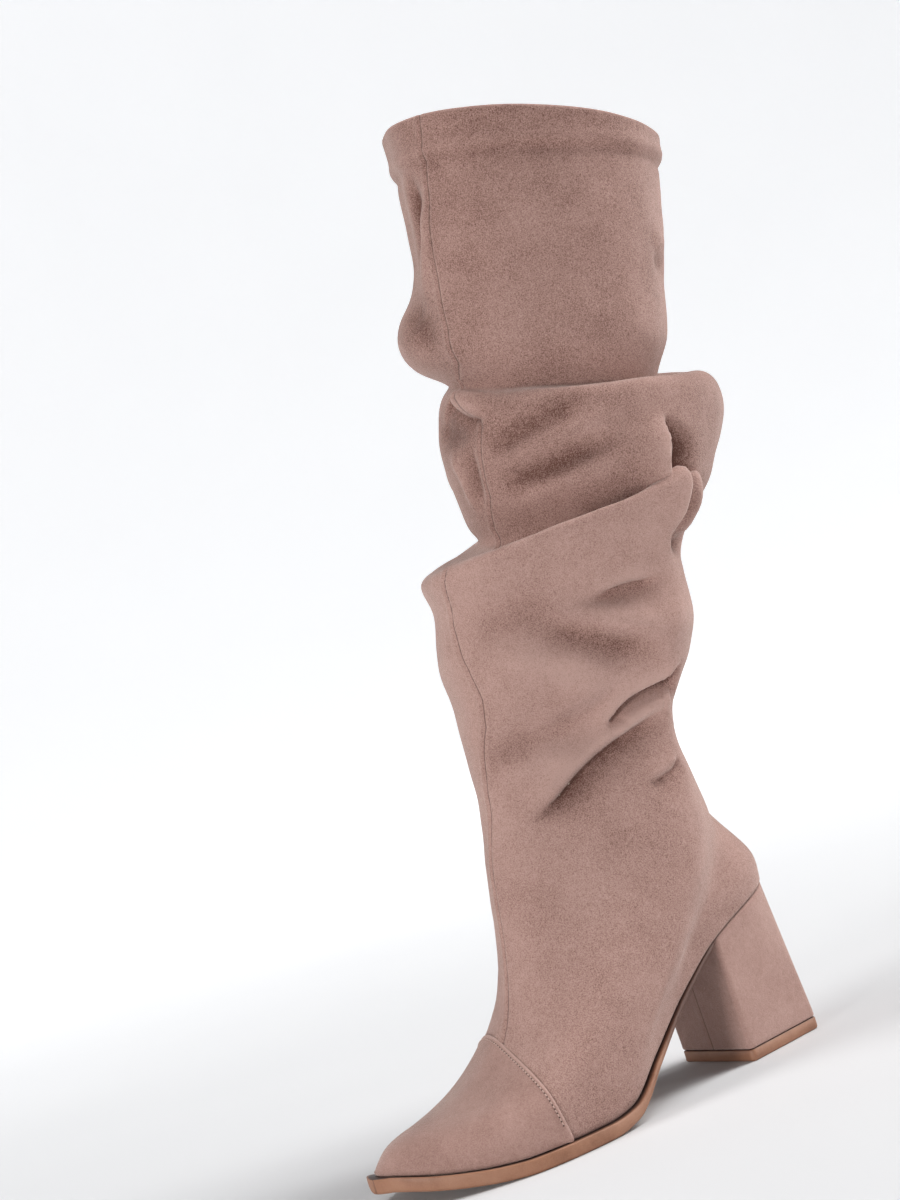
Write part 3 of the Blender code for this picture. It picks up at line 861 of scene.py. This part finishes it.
def add_toe_cap(finish, thread, shade):
    """The cap's leather with a cut edge, drawn in to the sole, and a row of stitches along it."""
    turns = cap_turns(CAP_TURNS)
    rows = []
    seam = []
    nap = []
    for lap in CAP_EDGE:
        rows.append(offset_points(turns, cap_levels(turns, lap.run), CAP_BASE + CAP_LIFT * lap.lift))
        seam.append(lap.seam)
        nap.append(lap.nap)
    start = cap_levels(turns, CAP_FLAT)
    for share in np.linspace(0, 1, CAP_ROWS):
        levels = start + (LAST_LEVEL - start) * share
        lift = CAP_LIFT * (1 - smooth(0.75, 1.0, share))
        rows.append(offset_points(turns, levels, CAP_BASE + lift))
        seam.append(NO_SEAM)
        nap.append(0.0)
    rows[-1] = feather_edge(turns, EDGE_TUCK)
    # A dark line along the cap's foot, where it meets the sole: a dark joint, and painted shade of the gap
    seam[-2:] = [1.0, 0.0]
    points = np.array(rows).reshape(-1, 3)
    across = np.ones(len(turns))
    marks = {"seam": np.outer(seam, across), "nap": np.outer(nap, across)}
    faces = whole_faces(points, grid_faces(len(rows), len(turns), wrap=False))
    piece = add_mesh("toe_cap_suede", points, faces, finish, "suede", marks)
    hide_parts("toe_cap")
    add_stitches(thread, shade)


def add_stitches(thread, shade):
    """Short stitches along the cap's edge, each with a flat dark bead behind it: painted shade of its needle
    hole.
    """
    turns = cap_turns(2 * CAP_TURNS)[6:-6]
    levels = cap_levels(turns, STITCH_INSET)
    line = offset_points(turns, levels, CAP_BASE + CAP_LIFT)
    out = offset_points(turns, levels, CAP_BASE + CAP_LIFT + 1) - line
    run = run_along(line)
    middles = np.arange(STITCH_PITCH, run[-1] - STITCH_PITCH, STITCH_PITCH)
    stitches = beads(line, out, run, middles, (STITCH_LENGTH, STITCH_THICK, STITCH_RAISE))
    add_mesh("toe_cap_stitches", *stitches, thread, "suede")
    # Flat dark beads between the stitches: painted shade of the needle holes
    hole_shade = beads(line, out, run, middles + STITCH_PITCH / 2, (HOLE_LENGTH, HOLE_WIDTH, 0.0))
    add_mesh("toe_cap_hole_shade", *hole_shade, shade, "suede")


def beads(line, out, run, middles, sizes):
    """Small rounded beads along a line: their length, thickness and lift. Beads without a lift are flat."""
    length, thick, raised = sizes

    def at(place, values):
        return np.array([np.interp(place, run, values[:, i]) for i in range(3)])

    points = []
    faces = []
    for middle in middles:
        for share in np.linspace(-1, 1, BEAD_RINGS):
            place = middle + share * length / 2
            centre = at(place, line)
            away = at(place, out)
            across = np.cross(away, unit(at(place + 0.5, line) - centre))
            size = thick / 2 * math.sqrt(max(1 - share**2, 0.02))
            lift = raised * (1 - 2 * share**4)
            for angle in np.linspace(0, 2 * math.pi, BEAD_SIDES, endpoint=False):
                height = size * math.sin(angle) * (1.0 if raised else HOLE_FLAT)
                points.append(centre + away * (lift + height) + across * size * math.cos(angle))
        last = len(points) - BEAD_SIDES
        first = last - (BEAD_RINGS - 1) * BEAD_SIDES
        for face in grid_faces(BEAD_RINGS, BEAD_SIDES):
            faces.append(tuple(first + i for i in face[::-1]))
        faces.append(tuple(first + i for i in range(BEAD_SIDES))[::-1])
        faces.append(tuple(last + i for i in range(BEAD_SIDES)))
    return points, faces


def loft(rings):
    """Points and faces of a solid through closed rings of equal count, capped at both ends."""
    rings = np.array(rings)
    rows, columns = rings.shape[:2]
    faces = grid_faces(rows, columns)
    faces.append(tuple(range(columns)))
    faces.append(tuple((rows - 1) * columns + j for j in range(columns))[::-1])
    points = rings.reshape(-1, 3)
    return points, whole_faces(points, faces)


def sole_tip(offset):
    return feather_edge(np.zeros(1), -offset)[0, 0]


# Sections of the sole's and the top lift's edges, top to tread: how far in from the side, the share of the
# height, and how dark they are: a dark top band of edge ink and painted shade of the gap under the upper and
# the heel cover, and slightly darker towards the tread
Edge = namedtuple("Edge", "inset height stain")
SOLE_SIDE = [
    Edge(3.0, 1.0, 1.0),
    Edge(2.0, 1.0, 0.7),
    Edge(0.55, 1.0, 0.1),
    Edge(0.2, 0.96, 0.0),
    Edge(0.0, 0.88, 0.0),
    Edge(-0.1, 0.62, 0.0),
    Edge(0.0, 0.36, 0.0),
    Edge(0.25, 0.2, 0.0),
    Edge(0.65, 0.08, 0.1),
    Edge(1.2, 0.0, 0.2),
    Edge(3.0, 0.0, 0.2),
]
LIFT_SIDE = [
    Edge(0.7, 1.0, 0.8),
    Edge(0.25, 0.965, 0.45),
    Edge(0.0, 0.9, 0.0),
    Edge(0.0, 0.14, 0.0),
    Edge(0.35, 0.04, 0.1),
    Edge(0.9, 0.0, 0.2),
]
SQUEEZE_WIDTH = 12.0

# How the heel's cover turns in above the top lift
Turn = namedtuple("Turn", "rise inset")
COVER_EDGE = [
    Turn(0.0, 1.1),
    Turn(0.1, 0.55),
    Turn(0.5, 0.18),
    Turn(1.1, 0.0),
]


def add_outsole(finish):
    tip = sole_tip(SOLE_LEDGE) - 0.02
    share = np.linspace(0, 1, 150)
    stations = HEEL_BREAST + GAP + (tip - HEEL_BREAST - GAP) * np.sin(share * math.pi / 2) ** 0.8
    waist_outer, waist_inner = side_lines(WAIST_LEDGE, stations)
    outer, inner = side_lines(SOLE_LEDGE, stations)
    full = np.clip((stations - HEEL_BREAST) / (LEDGE_FULL - HEEL_BREAST), 0, 1)
    outer = waist_outer + (outer - waist_outer) * full
    inner = waist_inner + (inner - waist_inner) * full
    top = feather_height(stations) - GAP
    bottom = sole_bottom(stations)
    rings = []
    for i, x in enumerate(stations):
        squeeze = min(1, (outer[i] - inner[i]) / SQUEEZE_WIDTH)
        ring = []
        for line, inward, edges in ((outer, -squeeze, SOLE_SIDE), (inner, squeeze, SOLE_SIDE[::-1])):
            for edge in edges:
                height = bottom[i] + edge.height * (top[i] - bottom[i])
                ring.append((x, line[i] + inward * edge.inset, height))
        rings.append(ring)
    # Dark brown under the arch, fading to tan by the ball: edge paint, and painted shade under the arch
    waist = 1 - smooth(WAIST_INK_AND_SHADE_END, WAIST_TAN, stations)
    stain = [edge.stain for edge in SOLE_SIDE]
    marks = {"stain": np.outer(np.ones(len(rings)), stain + stain[::-1])}
    marks["waist"] = np.outer(waist, np.ones(len(rings[0])))
    piece = add_mesh("outsole_rubber", *loft(rings), finish, "tan_rubber", marks)
    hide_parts("outsole")


def add_footbed(finish):
    tip = sole_tip(-INSOLE_INSET) - 0.1
    share = np.linspace(0, 1, 110)
    stations = INSOLE_INSET + 0.1 + (tip - INSOLE_INSET - 0.1) * np.sin(share * math.pi / 2) ** 2
    outer, inner = side_lines(-INSOLE_INSET, stations)
    bottom = feather_height(stations) + GAP
    rings = []
    for i, x in enumerate(stations):
        half = (outer[i] - inner[i]) / 2
        middle = (outer[i] + inner[i]) / 2
        ring = []
        for step in np.linspace(-1, 1, 25):
            crown = INSOLE_THICK - 0.7 * step**6
            ring.append((x, middle + half * step, bottom[i] + crown))
        ring.append((x, outer[i], bottom[i]))
        ring.append((x, inner[i], bottom[i]))
        rings.append(ring)
    piece = add_mesh("footbed_leather", *loft(rings), finish, "footbed")
    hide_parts("insole")


def arc(forward, side, radius, first, last, count):
    angle = np.radians(np.linspace(first, last, count))
    return np.column_stack([forward + radius * np.cos(angle), side + radius * np.sin(angle)])


CORNER_STEPS = 8
FLANK_STEPS = 26
BACK_STEPS = 12
BREAST_STEPS = 30
HEEL_ROWS = 30


def heel_tread():
    """The outer half outline of the tread, from the breast to the middle of the back."""
    front = HEEL_FRONT_CORNER
    back = HEEL_BACK_CORNER
    fore = arc(HEEL_TREAD_FRONT - front, HEEL_FRONT_WIDTH / 2 - front, front, 0, 90, CORNER_STEPS)
    rear = arc(HEEL_TREAD_BACK + back, HEEL_BACK_WIDTH / 2 - back, back, 90, 180, CORNER_STEPS)
    flank = np.linspace(fore[-1], rear[0], FLANK_STEPS + 2)[1:-1]
    middle = np.linspace(rear[-1], [HEEL_TREAD_BACK, 0], BACK_STEPS + 1)[1:]
    return np.concatenate([fore, flank, rear, middle])


def heel_seat():
    """The outer and inner half outlines of the last at the heel, in the same steps as the tread."""
    front = HEEL_FRONT_CORNER
    fore = arc(HEEL_BREAST - front, -front, front, 0, 90, CORNER_STEPS)
    share = np.linspace(0, 1, FLANK_STEPS + CORNER_STEPS + BACK_STEPS + 1)[1:]
    around = (HEEL_BREAST - front) * (1 - np.sin(share * math.pi / 2))
    stations = np.concatenate([fore[:, 0], np.maximum(around, 0.05)])
    tuck = np.concatenate([fore[:, 1], np.zeros(len(around))])
    outer, inner = side_lines(-HEEL_SEAT_INSET, stations)
    middle = np.concatenate([np.ones(len(stations) - 1), [0]])
    return (
        np.column_stack([stations, (outer + tuck) * middle]),
        np.column_stack([stations, (inner - tuck) * middle]),
    )


def closed_loop(outer, inner):
    """One loop: the outer half from the breast to the back, the inner half back again, then the breast."""
    breast = np.linspace(inner[0], outer[0], BREAST_STEPS + 2)[1:-1]
    return np.concatenate([outer, inner[:-1][::-1], breast])


def shrunk(loop, amount):
    """The loop moved in by an amount, along its own normals."""
    tangent = np.roll(loop, -1, axis=0) - np.roll(loop, 1, axis=0)
    normal = np.stack([-tangent[:, 1], tangent[:, 0]], 1)
    length = np.maximum(np.linalg.norm(normal, axis=1)[:, None], 1e-6)
    inward = normal / length
    middle = loop.mean(axis=0)
    if ((middle - loop) * inward).sum() < 0:
        inward = -inward
    return loop + inward * amount


def add_heel(cover, rubber):
    tread = heel_tread()
    low = closed_loop(tread, tread * [1, -1])
    high = closed_loop(*heel_seat())
    seat_height = feather_height(high[:, 0]) - GAP
    base = LIFT_THICK + GAP
    count = len(low)
    rows = []
    seams = []
    for edge in COVER_EDGE:
        share = (edge.rise / (seat_height - base))[:, None]
        loop = shrunk(low, edge.inset) * (1 - share) + high * share
        rows.append(np.column_stack([loop, np.full(count, base + edge.rise)]))
    for share in np.linspace(0, 1, HEEL_ROWS)[1:]:
        loop = low * (1 - share) + high * share
        rows.append(np.column_stack([loop, (base + edge.rise) * (1 - share) + seat_height * share]))
    rows.append(np.column_stack([shrunk(high, 1.0), seat_height]))
    points = np.array(rows)
    on_breast = np.arange(count) >= count - BREAST_STEPS
    for row in points:
        side = row[:, 1]
        seam_at = side.max() - BREAST_SEAM * (side[0] - side[count - BREAST_STEPS - 1])
        seams.append(np.where(on_breast, side - seam_at, NO_SEAM))
    seam = np.array(seams)
    points[:, :, 0] += np.where(on_breast, seam_depth(seam) * 0.6, 0)
    shape, faces = loft(points)
    marks = {"seam": seam, "nap": np.full(seam.shape, HEEL_BRUSH)}
    piece = add_mesh("heel_cover", shape, [face[::-1] for face in faces], cover, "suede", marks)
    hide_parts("heel_block")
    rings = []
    stain = []
    for edge in LIFT_SIDE:
        rings.append(np.column_stack([shrunk(low, edge.inset), np.full(count, edge.height * LIFT_THICK)]))
        stain.append(np.full(count, edge.stain))
    marks = {"stain": np.array(stain), "waist": np.zeros((len(rings), count))}
    piece = add_mesh("top_lift_rubber", *loft(rings), rubber, "tan_rubber", marks)
    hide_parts("heel_top_lift")


def new_material(name, roughness, specular=0.3):
    made = bpy.data.materials.new(name)
    made.use_nodes = True
    shader = made.node_tree.nodes["Principled BSDF"]
    shader.inputs["Roughness"].default_value = roughness
    shader.inputs["Specular IOR Level"].default_value = specular
    return made, made.node_tree, shader


def fill(tree, sockets, values):
    """Sets sockets to values, or links them to the outputs of other nodes."""
    for socket, value in zip(sockets, values):
        if isinstance(value, bpy.types.NodeSocket):
            tree.links.new(value, socket)
        else:
            socket.default_value = value


def add_node(tree, kind, inputs):
    node = tree.nodes.new(kind)
    fill(tree, [node.inputs[name] for name in inputs], inputs.values())
    return node


def noise(tree, place, scale, detail, roughness=0.55):
    inputs = {"Vector": place, "Scale": scale, "Detail": detail, "Roughness": roughness}
    return add_node(tree, "ShaderNodeTexNoise", inputs).outputs["Fac"]


def math_node(tree, operation, *values):
    node = tree.nodes.new("ShaderNodeMath")
    node.operation = operation
    fill(tree, node.inputs, values)
    return node.outputs[0]


def weighed(tree, parts):
    """The sum of values, each times its weight."""
    total = 0.0
    for value, weight in parts:
        total = math_node(tree, "MULTIPLY_ADD", value, weight, total)
    return total


def ramp(tree, value, stops):
    node = tree.nodes.new("ShaderNodeValToRGB")
    while len(node.color_ramp.elements) < len(stops):
        node.color_ramp.elements.new(0.5)
    for element, (position, colour) in zip(node.color_ramp.elements, stops):
        element.position = position
        element.color = (*colour, 1.0)
    tree.links.new(value, node.inputs["Fac"])
    return node.outputs["Color"]


def attribute(tree, name):
    node = tree.nodes.new("ShaderNodeAttribute")
    node.attribute_name = name
    return node.outputs["Fac"]


def fade(tree, value, span, ends, kind="LINEAR"):
    """Takes a span of values to two ends."""
    node = tree.nodes.new("ShaderNodeMapRange")
    node.interpolation_type = kind
    fill(tree, node.inputs, (value, *span, *ends))
    return node.outputs["Result"]


def blend(tree, share, colour, other):
    node = tree.nodes.new("ShaderNodeMix")
    node.data_type = "RGBA"
    tree.links.new(share, node.inputs["Factor"])
    tree.links.new(colour, node.inputs["A"])
    node.inputs["B"].default_value = (*other, 1.0)
    return node.outputs["Result"]


def object_place(tree):
    return tree.nodes.new("ShaderNodeTexCoord").outputs["Object"]


def bump(tree, shader, height, strength, distance):
    inputs = {"Strength": strength, "Distance": distance, "Height": height}
    node = add_node(tree, "ShaderNodeBump", inputs)
    tree.links.new(node.outputs["Normal"], shader.inputs["Normal"])


SUEDE_PAINTED_SHADE = (0.13, 0.062, 0.048)
SUEDE_DARK = (0.25, 0.142, 0.117)
SUEDE_MAIN = (0.365, 0.222, 0.188)
SUEDE_LIGHT = (0.475, 0.308, 0.266)
SEAM_DARK = (0.10, 0.055, 0.045)
TAN_DARK = (0.21, 0.092, 0.05)
TAN_MAIN = (0.315, 0.15, 0.088)
TAN_LIGHT = (0.38, 0.2, 0.125)
EDGE_INK_AND_SHADE = (0.045, 0.02, 0.014)
WAIST_INK_AND_SHADE_BROWN = (0.12, 0.062, 0.047)
THREAD_DARK = (0.42, 0.28, 0.235)
THREAD_LIGHT = (0.62, 0.45, 0.39)
HOLE_SHADE_DARK = (0.05, 0.026, 0.02)
HOLE_SHADE_LIGHT = (0.09, 0.05, 0.04)
LINING_DARK = (0.44, 0.33, 0.26)
LINING_LIGHT = (0.60, 0.48, 0.39)
SHEEN_TINT = (0.95, 0.82, 0.76)
SHEEN = 0.5
SHEEN_ROUGH = 0.38
PATCH_SCALE = 38
MOTTLE_SCALE = 420
FIBRE_SCALE = 1800
PORE_SCALE = 900
TWIST_SCALE = 2600
PATCH_SHARE = 0.28
MOTTLE_SHARE = 0.2
NAP_AND_PAINTED_LIGHT_SHARE = 0.24
COARSE_GRAIN = 0.82
FINE_GRAIN = 0.4
SEAM_LINE = (0.1, 0.45)
SEAM_SHARE = 0.7


def suede(name, grain):
    """Brushed suede: soft patches, mottling and fine fibres of this strength, painted shade and highlight
    from the mesh, and dark seam lines, painted shade too where they run along gaps.
    """
    made, tree, shader = new_material(name, 0.95, 0.15)
    place = object_place(tree)
    patches = noise(tree, place, PATCH_SCALE, 4, 0.6)
    mottle = noise(tree, place, MOTTLE_SCALE, 4, 0.65)
    fibres = noise(tree, place, FIBRE_SCALE, 2, 0.6)
    speckle = math_node(tree, "SUBTRACT", fibres, 0.5)
    # Painted shade and highlight from the mesh, besides the heel cover's even lighter brushing
    nap_and_painted_light_mark = attribute(tree, "nap")
    shares = ((patches, PATCH_SHARE), (mottle, MOTTLE_SHARE), (speckle, grain), (nap_and_painted_light_mark, NAP_AND_PAINTED_LIGHT_SHARE))
    tone = weighed(tree, shares)
    # The ramp's darkest stop is reached mostly through the painted shade
    stops = ((0.0, SUEDE_PAINTED_SHADE), (0.1, SUEDE_DARK), (0.24, SUEDE_MAIN), (0.42, SUEDE_LIGHT))
    nap = ramp(tree, tone, stops)
    near = math_node(tree, "ABSOLUTE", attribute(tree, "seam"))
    line = fade(tree, near, SEAM_LINE, (SEAM_SHARE, 0.0))
    colour = blend(tree, line, nap, SEAM_DARK)
    tree.links.new(colour, shader.inputs["Base Color"])
    shader.inputs["Sheen Weight"].default_value = SHEEN
    shader.inputs["Sheen Roughness"].default_value = SHEEN_ROUGH
    shader.inputs["Sheen Tint"].default_value = (*SHEEN_TINT, 1.0)
    relief = weighed(tree, ((fibres, 1.0), (mottle, 0.6)))
    bump(tree, shader, relief, 0.5, 0.0009)
    return made


def rubber(name):
    made, tree, shader = new_material(name, 0.5, 0.4)
    place = object_place(tree)
    cloud = noise(tree, place, 60, 4)
    grain = noise(tree, place, 1500, 2)
    tone = weighed(tree, ((cloud, 0.8), (grain, 0.2)))
    colour = ramp(tree, tone, ((0.3, TAN_DARK), (0.5, TAN_MAIN), (0.75, TAN_LIGHT)))
    # Dark brown under the arch: edge paint, and painted shade under the arch
    colour = blend(tree, attribute(tree, "waist"), colour, WAIST_INK_AND_SHADE_BROWN)
    # Edge ink at the top of the sole's and lift's edges, and painted shade of the gap under the upper and
    # heel cover
    colour = blend(tree, attribute(tree, "stain"), colour, EDGE_INK_AND_SHADE)
    tree.links.new(colour, shader.inputs["Base Color"])
    tree.links.new(math_node(tree, "MULTIPLY_ADD", cloud, 0.2, 0.4), shader.inputs["Roughness"])
    bump(tree, shader, grain, 0.2, 0.0003)
    return made


def lining(name):
    made, tree, shader = new_material(name, 0.75, 0.3)
    place = object_place(tree)
    cloud = noise(tree, place, 45, 4)
    pores = add_node(tree, "ShaderNodeTexVoronoi", {"Vector": place, "Scale": PORE_SCALE})
    colour = ramp(tree, cloud, ((0.3, LINING_DARK), (0.7, LINING_LIGHT)))
    tree.links.new(colour, shader.inputs["Base Color"])
    bump(tree, shader, pores.outputs["Distance"], 0.25, 0.0004)
    return made


def thread_finish(name, dark, light):
    made, tree, shader = new_material(name, 0.7, 0.3)
    twist = noise(tree, object_place(tree), TWIST_SCALE, 2)
    colour = ramp(tree, twist, ((0.3, dark), (0.7, light)))
    tree.links.new(colour, shader.inputs["Base Color"])
    bump(tree, shader, twist, 0.3, 0.0002)
    return made


FLOOR_RADIUS = 5.0
FLOOR_FLAT = 2.6
FLOOR_MIDDLE = 0.02
FLOOR_ROWS = 24
FLOOR_TURNS = 96
FLOOR_COLOUR = (0.66, 0.665, 0.675)
FLOOR_GLOW = 0.6
GLOW_COLOUR = (0.97, 0.98, 1.0)
GLOW_START = 0.0
GLOW_FULL = 1.8
BACKDROP_WAY = (-0.3, -0.95, 0.0)


def add_floor():
    """A pale studio floor that curves up into its own backdrop on every side."""
    rows = []
    for share in np.linspace(0, 1, FLOOR_ROWS):
        rows.append((FLOOR_MIDDLE + FLOOR_FLAT * share, 0.0))
    for angle in np.linspace(0, math.pi / 2, FLOOR_ROWS)[1:]:
        bend = FLOOR_RADIUS - FLOOR_FLAT
        rows.append((FLOOR_FLAT + bend * math.sin(angle), bend * (1 - math.cos(angle))))
    points = []
    for radius, height in rows:
        for turn in np.linspace(0, 2 * math.pi, FLOOR_TURNS, endpoint=False):
            points.append((radius * math.cos(turn), radius * math.sin(turn), height))
    faces = [face[::-1] for face in grid_faces(len(rows), FLOOR_TURNS)]
    faces.append(tuple(range(FLOOR_TURNS)))
    made, tree, shader = new_material("pale_floor", 0.8, 0.2)
    cloud = noise(tree, object_place(tree), 3, 2)
    paler = tuple(value + 0.02 for value in FLOOR_COLOUR)
    colour = ramp(tree, cloud, ((0.3, FLOOR_COLOUR), (0.7, paler)))
    tree.links.new(colour, shader.inputs["Base Color"])
    reach = tree.nodes.new("ShaderNodeVectorMath")
    reach.operation = "DOT_PRODUCT"
    reach.inputs[1].default_value = BACKDROP_WAY
    tree.links.new(object_place(tree), reach.inputs[0])
    glow = fade(tree, reach.outputs["Value"], (GLOW_START, GLOW_FULL), (0.0, FLOOR_GLOW), "SMOOTHSTEP")
    shader.inputs["Emission Color"].default_value = (*GLOW_COLOUR, 1.0)
    tree.links.new(glow, shader.inputs["Emission Strength"])
    floor = new_object("floor", points, faces, made)


SKY_COLOUR = (1.0, 0.95, 0.92)
SKY_STRENGTH = 0.05
Light = namedtuple("Light", "name place aim size power")
LIGHTS = [
    Light("back", (-2.15, 0.57, 2.06), (0.08, 0.0, 0.15), 1.0, 48.0),
    Light("high side", (-1.23, 0.58, 2.76), (0.08, 0.0, 0.15), 1.0, 41.0),
    Light("high front", (1.28, -0.47, 2.76), (0.08, 0.0, 0.15), 1.0, 32.0),
    Light("low front", (2.2, 0.7, 0.38), (0.10, 0.0, 0.06), 0.5, 23.0),
    Light("low side", (1.75, 1.95, 0.25), (0.05, 0.0, 0.06), 0.4, 7.0),
    Light("low back", (-1.8, 1.6, 0.34), (0.0, 0.0, 0.06), 0.5, 17.0),
]


def add_lights():
    for light in LIGHTS:
        data = bpy.data.lights.new(light.name, "AREA")
        data.shape = "DISK"
        data.size = light.size
        data.energy = light.power
        lamp = bpy.data.objects.new(light.name, data)
        lamp.location = light.place
        aim = Vector(light.aim) - Vector(light.place)
        lamp.rotation_mode = "QUATERNION"
        lamp.rotation_quaternion = aim.to_track_quat("-Z", "Y")
        bpy.context.scene.collection.objects.link(lamp)
    world = bpy.data.worlds.new("studio")
    world.use_nodes = True
    sky = world.node_tree.nodes["Background"]
    sky.inputs["Color"].default_value = (*SKY_COLOUR, 1.0)
    sky.inputs["Strength"].default_value = SKY_STRENGTH
    bpy.context.scene.world = world
    bpy.context.scene.view_settings.view_transform = "Standard"


def add_camera():
    turn = math.radians(CAMERA_TURN)
    tilt = math.radians(CAMERA_TILT)
    back = Vector((math.sin(turn) * math.cos(tilt), math.cos(turn) * math.cos(tilt), math.sin(tilt)))
    right = (-back).cross(Vector((0, 0, 1))).normalized()
    up = right.cross(-back)
    roll = math.radians(CAMERA_ROLL)
    top = math.cos(roll) * up + math.sin(roll) * right
    side = math.cos(roll) * right - math.sin(roll) * up
    place = (Vector(CAMERA_PLACE) - Vector((ORIGIN_FORWARD, 0, 0))) * MM
    data = bpy.data.cameras.new("camera")
    data.lens = CAMERA_LENS
    data.sensor_width = SENSOR_WIDTH
    camera = bpy.data.objects.new("camera", data)
    bpy.context.scene.collection.objects.link(camera)
    turned = Matrix((side, top, back)).transposed().to_4x4()
    camera.matrix_world = Matrix.Translation(place) @ turned
    bpy.context.scene.camera = camera


add_camera()
add_lights()
add_floor()
SUEDE = suede("suede", COARSE_GRAIN)
SMOOTH_SUEDE = suede("smooth_suede", FINE_GRAIN)
RUBBER = rubber("tan_rubber")
LINING = lining("lining_leather")
add_upper(SUEDE)
add_lining(LINING)
THREAD = thread_finish("thread", THREAD_DARK, THREAD_LIGHT)
# A dark finish for the beads that paint the shade of the needle holes
HOLE_SHADE = thread_finish("needle_hole_shade", HOLE_SHADE_DARK, HOLE_SHADE_LIGHT)
add_toe_cap(SMOOTH_SUEDE, THREAD, HOLE_SHADE)
add_outsole(RUBBER)
add_footbed(LINING)
add_heel(SMOOTH_SUEDE, RUBBER)
